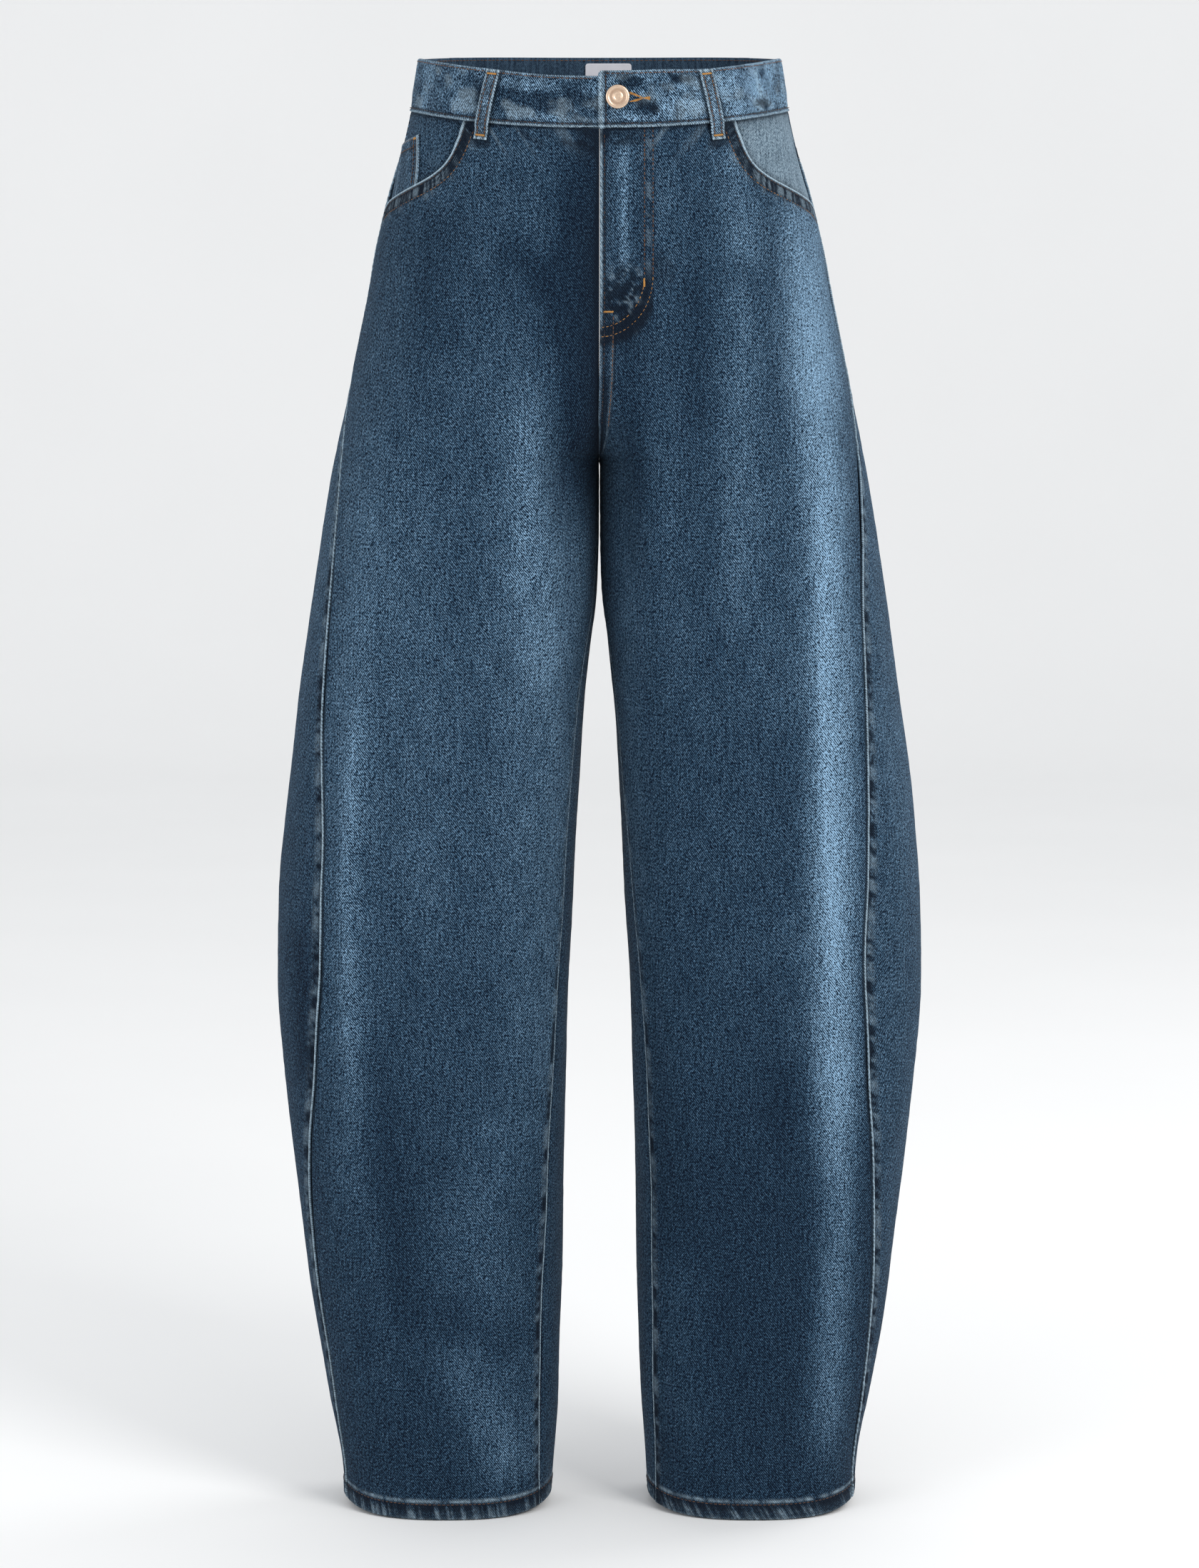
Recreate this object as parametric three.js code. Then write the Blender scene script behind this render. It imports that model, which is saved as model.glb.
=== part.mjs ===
import * as THREE from "three";

// Barrel leg trousers, worn shape with nobody inside. Lengths are in millimetres.
// +Z is up, the front faces -Y and +X is the wearer's left. Height 0 is the middle of the waistband.

const clothWall = 1.3;
const seamGap = 0.3;
const layerGap = 0.4;
const bandSeamGap = 0.6;

const bandTop = 19;
const bandFoot = -18;
const bandOutside = 1.2;
const bandInside = -1.3;
const bandFrontDip = 13;
const bandBackRise = 3.7;
const bandOverEnd = -1;
const bandUnderEnd = 38;
const bandLapRun = 20;

const crotchHeight = -262;
const hemHeight = -1018;
const hemFrontDip = 7.5;
const hemDipStart = -960;
const hemDepth = 12;
const hemOutside = 0.3;
const hemInside = -2.7;
const topShapeEnd = -200;

const flyWidth = 37;
const flyStraight = -132;
const flyPoint = -174;
const flyLift = 0.9;
const flyLiftFlat = 4;
const flyLiftFoot = -245;
const flyLiftFade = 20;

const facingUnderlap = 0.08;
const facingFoot = -128;
const facingSeamOffset = -0.8;
const facingRiseStart = 8;
const facingRiseEnd = 45;
const coinTop = -37;
const coinTopSlope = 8;
const coinFoot = -112;
const coinStart = 0.765;
const coinEdgeLean = 0.0023;
const coinWall = 1;
const coinClearance = 0.6;

const backPocketWall = 1.2;
const backPocketTop = -106;
const backPocketSide = -218;
const backPocketPoint = -236;
const backPocketSlope = 6;
const backPocketTaper = 7;

const loopWidth = 10;
const loopBelowBand = 12;
const loopTackDepth = 6;
const loopWall = 1.6;
const loopSlack = 1.4;

const buttonRadius = 8.2;
const buttonReach = 3.7;
const buttonShank = 4;
const buttonShankReach = 1.2;
const buttonAcross = 12.4;
const buttonHeight = -9.9;

const labelMiddle = 6.6;
const labelWidth = 34;
const labelTop = 18.5;
const labelFoot = -3;
const labelWall = 1;

// Half of the front view: how far the outside and the inside of a leg lie from the middle plane.
// Above the crotch the inside is where the leg's own loop would end, past the middle plane.
const outline = [
  { height: 19, outer: 127, inner: -127 },
  { height: -18, outer: 133.6, inner: -133.6 },
  { height: -45, outer: 139.8, inner: -139.8 },
  { height: -75, outer: 148.8, inner: -147 },
  { height: -110, outer: 157.5, inner: -138 },
  { height: -150, outer: 164.8, inner: -113 },
  { height: -190, outer: 173.2, inner: -74 },
  { height: -218, outer: 178.9, inner: -43 },
  { height: -238, outer: 183.3, inner: -21 },
  { height: -252, outer: 186.3, inner: -7 },
  { height: -259, outer: 187.7, inner: -1.6 },
  { height: -262, outer: 188.4, inner: 0.5 },
  { height: -290, outer: 193.6, inner: 0.5 },
  { height: -320, outer: 199, inner: 0.6 },
  { height: -360, outer: 205.4, inner: 2 },
  { height: -400, outer: 211, inner: 6.7 },
  { height: -460, outer: 219.2, inner: 12.5 },
  { height: -520, outer: 226.5, inner: 16.2 },
  { height: -580, outer: 231.4, inner: 18.8 },
  { height: -640, outer: 232.4, inner: 22.4 },
  { height: -700, outer: 228.4, inner: 24 },
  { height: -780, outer: 219.6, inner: 26.1 },
  { height: -860, outer: 211.2, inner: 27.6 },
  { height: -940, outer: 198.3, inner: 29.8 },
  { height: -1000, outer: 187.8, inner: 34.2 },
  { height: -1030, outer: 186.2, inner: 36 },
];

// Side view: how far the cloth stands in front of and behind the side line, and how square a section is.
const depths = [
  { height: 19, front: 97, back: 101, power: 2.15 },
  { height: -18, front: 100, back: 104, power: 2.2 },
  { height: -60, front: 103, back: 112, power: 2.25 },
  { height: -110, front: 105, back: 119, power: 2.3 },
  { height: -150, front: 107, back: 123, power: 2.3 },
  { height: -190, front: 108.5, back: 124, power: 2.3 },
  { height: -262, front: 108, back: 119, power: 2.3 },
  { height: -320, front: 105, back: 112, power: 2.35 },
  { height: -400, front: 101, back: 103, power: 2.4 },
  { height: -500, front: 95, back: 94, power: 2.4 },
  { height: -600, front: 89, back: 86, power: 2.4 },
  { height: -700, front: 83, back: 80, power: 2.4 },
  { height: -800, front: 76, back: 75, power: 2.35 },
  { height: -900, front: 69, back: 71, power: 2.3 },
  { height: -1030, front: 60, back: 66, power: 2.25 },
];

// How far forward the seams run, as shares of the front depth: 0 is the side line and 1 the very front.
const seams = [
  { height: -90, outRight: 0, outLeft: 0, inRight: 0, inLeft: 0 },
  { height: -130, outRight: 0.02, outLeft: 0.02, inRight: 0, inLeft: 0 },
  { height: -170, outRight: 0.07, outLeft: 0.06, inRight: 0, inLeft: 0 },
  { height: -215, outRight: 0.22, outLeft: 0.2, inRight: 0, inLeft: 0 },
  { height: -262, outRight: 0.45, outLeft: 0.42, inRight: 0, inLeft: 0 },
  { height: -315, outRight: 0.57, outLeft: 0.6, inRight: 0.2, inLeft: 0.1 },
  { height: -365, outRight: 0.635, outLeft: 0.707, inRight: 0.3, inLeft: 0.17 },
  { height: -450, outRight: 0.715, outLeft: 0.79, inRight: 0.4, inLeft: 0.26 },
  { height: -545, outRight: 0.81, outLeft: 0.852, inRight: 0.45, inLeft: 0.36 },
  { height: -620, outRight: 0.82, outLeft: 0.882, inRight: 0.46, inLeft: 0.46 },
  { height: -700, outRight: 0.75, outLeft: 0.845, inRight: 0.51, inLeft: 0.51 },
  { height: -755, outRight: 0.63, outLeft: 0.777, inRight: 0.56, inLeft: 0.53 },
  { height: -800, outRight: 0.545, outLeft: 0.71, inRight: 0.57, inLeft: 0.545 },
  { height: -870, outRight: 0.51, outLeft: 0.612, inRight: 0.61, inLeft: 0.55 },
  { height: -940, outRight: 0.46, outLeft: 0.51, inRight: 0.61, inLeft: 0.52 },
  { height: -1030, outRight: 0.3, outLeft: 0.3, inRight: 0.5, inLeft: 0.43 },
];

// The curved pocket opening, by the share of the front panel from the middle (0) to the outseam (1).
const pocketOpening = [
  { share: 0.506, height: -20 },
  { share: 0.522, height: -30 },
  { share: 0.538, height: -41 },
  { share: 0.555, height: -49.5 },
  { share: 0.576, height: -55.5 },
  { share: 0.605, height: -60.5 },
  { share: 0.65, height: -65.5 },
  { share: 0.72, height: -70.8 },
  { share: 0.8, height: -76 },
  { share: 0.88, height: -80.5 },
  { share: 1, height: -90 },
];

// The yoke seam across the back, from the middle (0) to the outseam (1).
const yokeSeam = [
  { share: 0, height: -92 },
  { share: 0.5, height: -70 },
  { share: 1, height: -52 },
];

// Belt loops, by the distance of their ends from the middle of the front or back.
const beltLoops = [
  { name: "belt_loop_front_right", face: "front", top: -74, foot: -84.5 },
  { name: "belt_loop_front_left", face: "front", top: 74, foot: 84.5 },
  { name: "belt_loop_back_right", face: "back", top: -112, foot: -118 },
  { name: "belt_loop_back_left", face: "back", top: 112, foot: 118 },
  { name: "belt_loop_back_middle", face: "back", top: 0, foot: 0 },
];

// Levels of the rows of points down a leg panel, closest where the crotch curves under.
const panelLevels = [
  -18, -30, -44, -60, -76, -92, -110, -132, -150, -167, -184, -200, -216, -231, -243, -250.5,
  -256.5, -260, -262, -270, -286, -312, -350, -395, -445, -495, -545, -595, -645, -695, -745, -795, -845,
  -895, -935, -970, -1005.7, -1006.3, -1018,
];

// Columns of points across a front panel beyond the pocket's start, as shares of what is left.
const openingColumns = [0, 0.05, 0.11, 0.2, 0.34, 0.52, 0.68, 0.84, 1];
const backColumns = 14;
const backPocketFrom = 2;
const backPocketTo = 9;

function clamp(value, low, high) {
  return Math.min(high, Math.max(low, value));
}

function smoothStep(low, high, value) {
  const share = clamp((value - low) / (high - low), 0, 1);
  return share * share * (3 - 2 * share);
}

// Reads one column of a table at any key by a smooth curve through its rows.
function readTable(table, key, column, value) {
  const rows = table[0][key] < table[table.length - 1][key] ? table : [...table].reverse();
  const last = rows.length - 1;
  if (value <= rows[0][key]) return rows[0][column];
  if (value >= rows[last][key]) return rows[last][column];
  let index = 0;
  while (value > rows[index + 1][key]) index += 1;
  const slopeOf = (a, b) => (rows[b][column] - rows[a][column]) / (rows[b][key] - rows[a][key]);
  const inside = slopeOf(index, index + 1);
  const before = index > 0 ? slopeOf(index - 1, index) : inside;
  const after = index + 1 < last ? slopeOf(index + 1, index + 2) : inside;
  const startSlope = before * inside > 0 ? (2 * before * inside) / (before + inside) : 0;
  const endSlope = after * inside > 0 ? (2 * after * inside) / (after + inside) : 0;
  const span = rows[index + 1][key] - rows[index][key];
  const t = (value - rows[index][key]) / span;
  const from = rows[index][column];
  const to = rows[index + 1][column];
  return (
    from * (1 + 2 * t) * (1 - t) ** 2 +
    startSlope * span * t * (1 - t) ** 2 +
    to * t * t * (3 - 2 * t) +
    endSlope * span * t * t * (t - 1)
  );
}

function signedPower(value, exponent) {
  return Math.sign(value) * Math.abs(value) ** exponent;
}

// One level of one leg: a squared oval, and the angles at which its seams cross it.
// Angle 0 is the outer side, and positive angles run over the front to the inner side.
const levels = new Map();
function levelAt(height, side) {
  const key = height.toFixed(4) + side;
  if (levels.has(key)) return levels.get(key);
  const outer = readTable(outline, "height", "outer", height);
  const inner = readTable(outline, "height", "inner", height);
  const front = readTable(depths, "height", "front", height);
  const back = readTable(depths, "height", "back", height);
  const power = readTable(depths, "height", "power", height);
  const outColumn = side > 0 ? "outLeft" : "outRight";
  const inColumn = side > 0 ? "inLeft" : "inRight";
  const outShare = readTable(seams, "height", outColumn, height);
  const inShare = readTable(seams, "height", inColumn, height);
  const centre = (outer + inner) / 2;
  const halfWidth = (outer - inner) / 2;
  const outAngle = Math.asin(outShare ** (power / 2));
  const cutAngle = Math.PI - Math.acos(clamp(centre / halfWidth, 0, 1) ** (power / 2));
  const inAngle = Math.PI - Math.asin(inShare ** (power / 2));
  const above = height > crotchHeight;
  const pointAt = (angle) => [
    centre + halfWidth * signedPower(Math.cos(angle), 2 / power),
    -(Math.sin(angle) > 0 ? front : back) * signedPower(Math.sin(angle), 2 / power),
  ];
  const level = {
    side,
    front: walk(pointAt, above ? cutAngle : inAngle, outAngle),
    back: walk(pointAt, above ? -cutAngle : inAngle - 2 * Math.PI, outAngle),
    frontDepth: front,
    backDepth: back,
  };
  levels.set(key, level);
  return level;
}

// Points along part of a section, with the length walked so far.
function walk(pointAt, fromAngle, toAngle) {
  const steps = 160;
  const points = [];
  const lengths = [0];
  for (let step = 0; step <= steps; step += 1) {
    const eased = 0.5 - 0.5 * Math.cos((Math.PI * step) / steps);
    points.push(pointAt(fromAngle + (toAngle - fromAngle) * eased));
    if (step > 0) {
      const [x0, y0] = points[step - 1];
      const [x1, y1] = points[step];
      lengths.push(lengths[step - 1] + Math.hypot(x1 - x0, y1 - y0));
    }
  }
  return { points, lengths, width: lengths[steps] };
}

// The point at a distance along a walk, and the outward direction there.
function placeOn(path, distance) {
  const { points, lengths } = path;
  let index = 0;
  while (index < lengths.length - 2 && lengths[index + 1] < distance) index += 1;
  const share = (distance - lengths[index]) / (lengths[index + 1] - lengths[index]);
  const [x0, y0] = points[index];
  const [x1, y1] = points[index + 1];
  const before = points[Math.max(index - 1, 0)];
  const after = points[Math.min(index + 2, points.length - 1)];
  const alongX = after[0] - before[0];
  const alongY = after[1] - before[1];
  const size = Math.hypot(alongX, alongY);
  return {
    x: x0 + (x1 - x0) * share,
    y: y0 + (y1 - y0) * share,
    outX: alongY / size,
    outY: -alongX / size,
  };
}

// A point of the garment: face is front or back, and distance runs from the middle seam to the outseam.
function clothPoint(side, face, height, distance, offset) {
  const place = placeOn(levelAt(height, side)[face], distance);
  const turn = face === "front" ? 1 : -1;
  const x = place.x + place.outX * offset * turn;
  return [side * x, place.y + place.outY * offset * turn, height];
}

function faceWidth(side, face, height) {
  return levelAt(height, side)[face].width;
}

// How far forward a place is, from 1 at the very front to -1 at the very back.
function frontness(side, face, height, distance) {
  const level = levelAt(height, side);
  const { y } = placeOn(level[face], distance);
  return y < 0 ? -y / level.frontDepth : -y / level.backDepth;
}

// The waistband dips at the front and rises at the back.
function waistShift(forward) {
  return bandBackRise * smoothStep(0, 1, -forward) - bandFrontDip * Math.max(forward, 0) ** 2;
}

function hemShift(height, forward) {
  return -hemFrontDip * smoothStep(0, 1, forward) * smoothStep(hemDipStart, hemHeight, height);
}

// Closes a sheet of outer points and a sheet of inner points, both as rows of columns, with a rim.
function closedShell(outer, inner) {
  const rows = outer.length;
  const columns = outer[0].length;
  const positions = [...outer.flat(), ...inner.flat()].flat();
  const index = [];
  const at = (layer, row, column) => (layer * rows + row) * columns + column;
  const quad = (a, b, c, d) => index.push(a, b, c, a, c, d);
  for (let row = 0; row < rows - 1; row += 1)
    for (let column = 0; column < columns - 1; column += 1) {
      quad(at(0, row, column), at(0, row + 1, column), at(0, row + 1, column + 1), at(0, row, column + 1));
      quad(at(1, row, column), at(1, row, column + 1), at(1, row + 1, column + 1), at(1, row + 1, column));
    }
  for (let column = 0; column < columns - 1; column += 1) {
    const foot = rows - 1;
    quad(at(0, 0, column), at(0, 0, column + 1), at(1, 0, column + 1), at(1, 0, column));
    quad(at(0, foot, column), at(1, foot, column), at(1, foot, column + 1), at(0, foot, column + 1));
  }
  for (let row = 0; row < rows - 1; row += 1) {
    const edge = columns - 1;
    quad(at(0, row, 0), at(1, row, 0), at(1, row + 1, 0), at(0, row + 1, 0));
    quad(at(0, row, edge), at(0, row + 1, edge), at(1, row + 1, edge), at(1, row, edge));
  }
  if (signedVolume(positions, index) < 0) index.reverse();
  const geometry = new THREE.BufferGeometry();
  geometry.setAttribute("position", new THREE.Float32BufferAttribute(positions, 3));
  geometry.setIndex(index);
  geometry.computeVertexNormals();
  return geometry;
}

function signedVolume(positions, index) {
  let volume = 0;
  const a = new THREE.Vector3();
  const b = new THREE.Vector3();
  const c = new THREE.Vector3();
  for (let i = 0; i < index.length; i += 3) {
    a.fromArray(positions, 3 * index[i]);
    b.fromArray(positions, 3 * index[i + 1]);
    c.fromArray(positions, 3 * index[i + 2]);
    volume += a.dot(b.cross(c)) / 6;
  }
  return volume;
}

function evenShares(count) {
  return Array.from({ length: count + 1 }, (_, step) => step / count);
}

// Makes a sheet on one face of one side. Each row and column gives a height, a distance and two offsets.
function sheetOn(side, face, downShares, acrossShares, place) {
  const outer = [];
  const inner = [];
  for (const down of downShares) {
    const outerRow = [];
    const innerRow = [];
    for (const across of acrossShares) {
      const { height, distance, outside, inside } = place(down, across);
      outerRow.push(clothPoint(side, face, height, distance, outside));
      innerRow.push(clothPoint(side, face, height, distance, inside));
    }
    outer.push(outerRow);
    inner.push(innerRow);
  }
  return closedShell(outer, inner);
}

// Keeps half a seam gap at both edges of a panel.
function insetDistance(side, face, height, across) {
  const width = faceWidth(side, face, height);
  return seamGap / 2 + across * (width - seamGap);
}

// The height of the waistband's lower edge over a share of a face.
function bandFootAt(side, face, across) {
  const distance = insetDistance(side, face, bandFoot, across);
  return bandFoot + waistShift(frontness(side, face, bandFoot, distance)) - bandSeamGap;
}

function frontTop(side, across) {
  const underBand = bandFootAt(side, "front", across);
  if (across <= pocketOpening[0].share) return underBand;
  return Math.min(underBand, readTable(pocketOpening, "share", "height", across));
}

function backTop(across) {
  return readTable(yokeSeam, "share", "height", across) - seamGap;
}

// The fly's edge on the wearer's left stands a little proud of the right one.
function flyRaise(side, height, distance) {
  if (side < 0 || height < flyLiftFoot) return 0;
  const fade = smoothStep(flyLiftFoot, flyLiftFoot + flyLiftFade, height);
  return flyLift * fade * smoothStep(flyWidth, flyLiftFlat, distance);
}

// A leg panel from its top edge to the hem, with the hem's folded edge thicker.
function legPanel(side, face, topAt, across) {
  return sheetOn(side, face, panelLevels, across, (rowHeight, share) => {
    const top = topAt(side, share);
    const stretch = (top - topShapeEnd) / (bandFoot - topShapeEnd);
    const height = rowHeight > topShapeEnd ? topShapeEnd + (rowHeight - topShapeEnd) * stretch : rowHeight;
    const distance = insetDistance(side, face, height, share);
    const shifted = height + hemShift(height, frontness(side, face, height, distance));
    const folded = rowHeight < hemHeight + hemDepth;
    const raise = face === "front" ? flyRaise(side, height, distance) : 0;
    return {
      height: shifted,
      distance: insetDistance(side, face, shifted, share),
      outside: folded ? hemOutside : raise,
      inside: folded ? hemInside : raise - clothWall,
    };
  });
}

function pastPocketStart(share) {
  const start = pocketOpening[0].share;
  return start + (1 - start) * share;
}

function frontPanel(side) {
  const start = pocketOpening[0].share;
  const inward = evenShares(5).slice(0, -1).map((share) => start * share);
  return legPanel(side, "front", frontTop, [...inward, ...openingColumns.map(pastPocketStart)]);
}

function backPanel(side) {
  return legPanel(side, "back", (_, across) => backTop(across), evenShares(backColumns));
}

function yoke(side) {
  return sheetOn(side, "back", evenShares(4), evenShares(backColumns), (down, across) => {
    const top = bandFootAt(side, "back", across);
    const foot = readTable(yokeSeam, "share", "height", across);
    const height = top + (foot - top) * down;
    const distance = insetDistance(side, "back", height, across);
    return { height, distance, outside: 0, inside: -clothWall };
  });
}

// The facing lies under the front panel and comes up level with the side where the pocket leaves it bare.
function facingOutside(side, height, across) {
  const layers = side < 0 ? coinWall + 2 * layerGap + coinClearance : layerGap;
  const under = -clothWall - layers;
  const opening = readTable(pocketOpening, "share", "height", across);
  return under + (facingSeamOffset - under) * smoothStep(facingRiseStart, facingRiseEnd, height - opening);
}

function pocketFacing(side) {
  const columns = [pocketOpening[0].share - facingUnderlap, ...openingColumns.map(pastPocketStart)];
  return sheetOn(side, "front", evenShares(9), columns, (down, across) => {
    const top = bandFootAt(side, "front", across);
    const height = top + (facingFoot - top) * down;
    const outside = facingOutside(side, height, across);
    const distance = insetDistance(side, "front", height, across);
    return { height, distance, outside, inside: outside - clothWall };
  });
}

// The small pocket on the facing, whose free edge hangs straight down while the face widens below it.
function coinPocket() {
  return sheetOn(-1, "front", evenShares(10), evenShares(5), (down, along) => {
    const top = coinTop - coinTopSlope * along;
    const height = top + (coinFoot - top) * down;
    const start = coinStart + coinEdgeLean * (height - coinTop);
    const across = start + (1 - start) * along;
    const inside = facingOutside(-1, height, across) + layerGap;
    const distance = insetDistance(-1, "front", height, across);
    return { height, distance, outside: inside + coinWall, inside };
  });
}

// A patch over the back panel's own columns, narrower and pointed at the foot.
function backPocket(side) {
  const columns = evenShares(backColumns).slice(backPocketFrom, backPocketTo + 1);
  const [start] = columns;
  const span = columns[columns.length - 1] - start;
  return sheetOn(side, "back", evenShares(10), columns, (down, column) => {
    const across = (column - start) / span;
    const foot = backPocketPoint + (backPocketSide - backPocketPoint) * Math.abs(2 * across - 1);
    const top = backPocketTop + backPocketSlope * across;
    const height = top + (foot - top) * down;
    const edge = across === 0 ? 1 : across === 1 ? -1 : 0;
    const distance = insetDistance(side, "back", height, column) + edge * backPocketTaper * down;
    return { height, distance, outside: layerGap + backPocketWall, inside: layerGap };
  });
}

// The facing behind the fly, held by the J-shaped stitching.
function flyFacing() {
  return sheetOn(1, "front", evenShares(10), evenShares(5), (down, across) => {
    const distance = 1 + (flyWidth - 1) * Math.sin((across * Math.PI) / 2);
    const top = bandFootAt(1, "front", distance / faceWidth(1, "front", bandFoot));
    const round = Math.sqrt(Math.max(0, 1 - (distance / flyWidth) ** 2));
    const foot = flyStraight + (flyPoint - flyStraight) * round;
    const height = top + (foot - top) * down;
    const outside = flyRaise(1, height, distance) - clothWall - 1.5 * layerGap;
    return { height, distance, outside, inside: outside - clothWall };
  });
}

// A point of the waist by its signed distance from the middle of the front or back.
function waistPoint(face, height, distance, offset) {
  const side = distance < 0 ? -1 : 1;
  return clothPoint(side, face, height, Math.abs(distance), offset);
}

// The waistband is one strip round the waist. Its end on the wearer's left laps over the other.
function waistband() {
  const frontHalf = faceWidth(1, "front", 0);
  const inBack = (share) => ({ face: "back", share });
  const inFront = (share) => ({ face: "front", share });
  const underEnd = evenShares(4).reverse().map((share) => (share * bandUnderEnd) / frontHalf);
  const lapRun = evenShares(3).map((share) => (bandOverEnd - share * (bandLapRun + bandOverEnd)) / frontHalf);
  const half = evenShares(12);
  const places = [
    ...[...underEnd, ...lapRun].map(inFront),
    ...half.slice(3).map((share) => inFront(-share)),
    ...half.slice(1).map((share) => inBack(share - 1)),
    ...half.slice(1).map(inBack),
    ...half.slice(1, -1).reverse().map(inFront),
    ...[9, 0, bandOverEnd].map((distance) => inFront(distance / frontHalf)),
  ];
  const lastUnder = underEnd.length + lapRun.length - 1;
  const build = (offset) =>
    evenShares(4).map((down) =>
      places.map(({ face, share }, index) => {
        const level = bandTop + (bandFoot - bandTop) * down;
        const side = share < 0 ? -1 : 1;
        const distance = Math.abs(share) * faceWidth(side, face, level);
        const height = level + waistShift(frontness(side, face, level, distance));
        const across = share * frontHalf;
        const under = index <= lastUnder ? smoothStep(-bandLapRun, bandOverEnd - 3, across) : 0;
        const lap = -under * (bandOutside - bandInside + layerGap);
        return clothPoint(side, face, height, Math.abs(share) * faceWidth(side, face, height), offset + lap);
      }),
    );
  return closedShell(build(bandOutside), build(bandInside));
}

// A strap tacked at both ends, standing off the waistband between them.
function beltLoop({ face, top, foot }) {
  const build = (extra) =>
    evenShares(10).map((down) =>
      [-0.5, 0, 0.5].map((across) => {
        const distance = top + (foot - top) * down + across * loopWidth;
        const side = distance < 0 ? -1 : 1;
        const shift = waistShift(frontness(side, face, 0, Math.abs(distance)));
        const height = bandTop + shift + (bandFoot - loopBelowBand - bandTop) * down;
        const bandEdge = bandFoot + shift;
        const seat = layerGap + bandOutside * smoothStep(bandEdge - loopTackDepth, bandEdge - 1, height);
        const slack = loopSlack * Math.sin(Math.PI * down) ** 1.5;
        return waistPoint(face, height, distance, seat + slack + extra);
      }),
    );
  return closedShell(build(loopWall), build(0));
}

// The button's profile from its shank to the raised middle of its face.
const buttonProfile = [
  { radius: 0, reach: 0 },
  { radius: buttonShank, reach: 0 },
  { radius: buttonShank, reach: buttonShankReach },
  { radius: buttonRadius - 0.6, reach: buttonShankReach },
  { radius: buttonRadius, reach: buttonShankReach + 0.6 },
  { radius: buttonRadius, reach: buttonReach - 0.8 },
  { radius: buttonRadius - 0.8, reach: buttonReach - 0.1 },
  { radius: buttonRadius - 2.2, reach: buttonReach },
  { radius: buttonRadius - 2.8, reach: buttonReach - 0.4 },
  { radius: 3.2, reach: buttonReach - 0.5 },
  { radius: 2.6, reach: buttonReach - 0.1 },
  { radius: 0, reach: buttonReach },
];

function button() {
  const profile = buttonProfile.map(({ radius, reach }) => new THREE.Vector2(radius, reach));
  return new THREE.LatheGeometry(profile, 32);
}

function waistLabel() {
  const build = (offset) =>
    evenShares(2).map((down) =>
      evenShares(4).map((across) => {
        const distance = labelMiddle + (across - 0.5) * labelWidth;
        const height = labelTop + (labelFoot - labelTop) * down;
        return waistPoint("back", height, distance, offset);
      }),
    );
  const outside = bandInside - layerGap;
  return closedShell(build(outside), build(outside - labelWall));
}

function cloth(colour, roughness) {
  return new THREE.MeshStandardMaterial({ color: colour, roughness, metalness: 0 });
}

const group = new THREE.Group();

function add(name, geometry, material) {
  const mesh = new THREE.Mesh(geometry, material);
  mesh.name = name;
  group.add(mesh);
  return mesh;
}

const sides = [
  { word: "right", side: -1 },
  { word: "left", side: 1 },
];

for (const { word, side } of sides) {
  add(`front_${word}`, frontPanel(side), cloth("#4d6a86", 0.9));
  add(`back_${word}`, backPanel(side), cloth("#435c76", 0.9));
  add(`yoke_${word}`, yoke(side), cloth("#41597a", 0.9));
  add(`pocket_facing_${word}`, pocketFacing(side), cloth("#6d869b", 0.9));
  add(`back_pocket_${word}`, backPocket(side), cloth("#4a657f", 0.9));
}
add("coin_pocket", coinPocket(), cloth("#748b9c", 0.9));
add("fly_facing", flyFacing(), cloth("#3d5268", 0.9));
add("waistband", waistband(), cloth("#5d7a93", 0.88));
for (const row of beltLoops) add(row.name, beltLoop(row), cloth("#5b7690", 0.88));
add("waist_label", waistLabel(), cloth("#cdcdd1", 0.7));

const buttonMetal = new THREE.MeshStandardMaterial({ color: "#d9a98a", roughness: 0.3, metalness: 1 });
const buttonMesh = add("button", button(), buttonMetal);
const seat = waistPoint("front", buttonHeight, buttonAcross, bandOutside + layerGap);
const waistSlope = Math.atan2(depths[1].front - depths[0].front, bandTop - bandFoot);
buttonMesh.position.fromArray(seat);
buttonMesh.rotation.set(Math.PI - waistSlope, 0, 0);

export default group;
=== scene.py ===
import math

import bmesh
import bpy
import numpy as np
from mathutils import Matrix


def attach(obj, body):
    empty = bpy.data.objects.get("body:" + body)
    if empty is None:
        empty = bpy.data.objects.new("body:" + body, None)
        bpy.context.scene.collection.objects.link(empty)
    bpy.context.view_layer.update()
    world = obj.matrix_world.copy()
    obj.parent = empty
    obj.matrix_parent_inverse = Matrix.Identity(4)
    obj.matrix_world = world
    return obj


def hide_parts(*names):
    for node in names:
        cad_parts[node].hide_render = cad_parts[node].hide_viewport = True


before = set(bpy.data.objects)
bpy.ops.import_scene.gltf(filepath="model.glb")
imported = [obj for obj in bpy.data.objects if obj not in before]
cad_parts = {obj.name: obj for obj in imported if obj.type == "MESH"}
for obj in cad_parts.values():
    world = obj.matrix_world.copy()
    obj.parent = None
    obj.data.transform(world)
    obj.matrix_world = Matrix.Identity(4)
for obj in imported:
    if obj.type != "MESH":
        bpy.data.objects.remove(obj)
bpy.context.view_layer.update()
print("stage: frame loaded,", len(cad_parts), "nodes")

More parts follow.
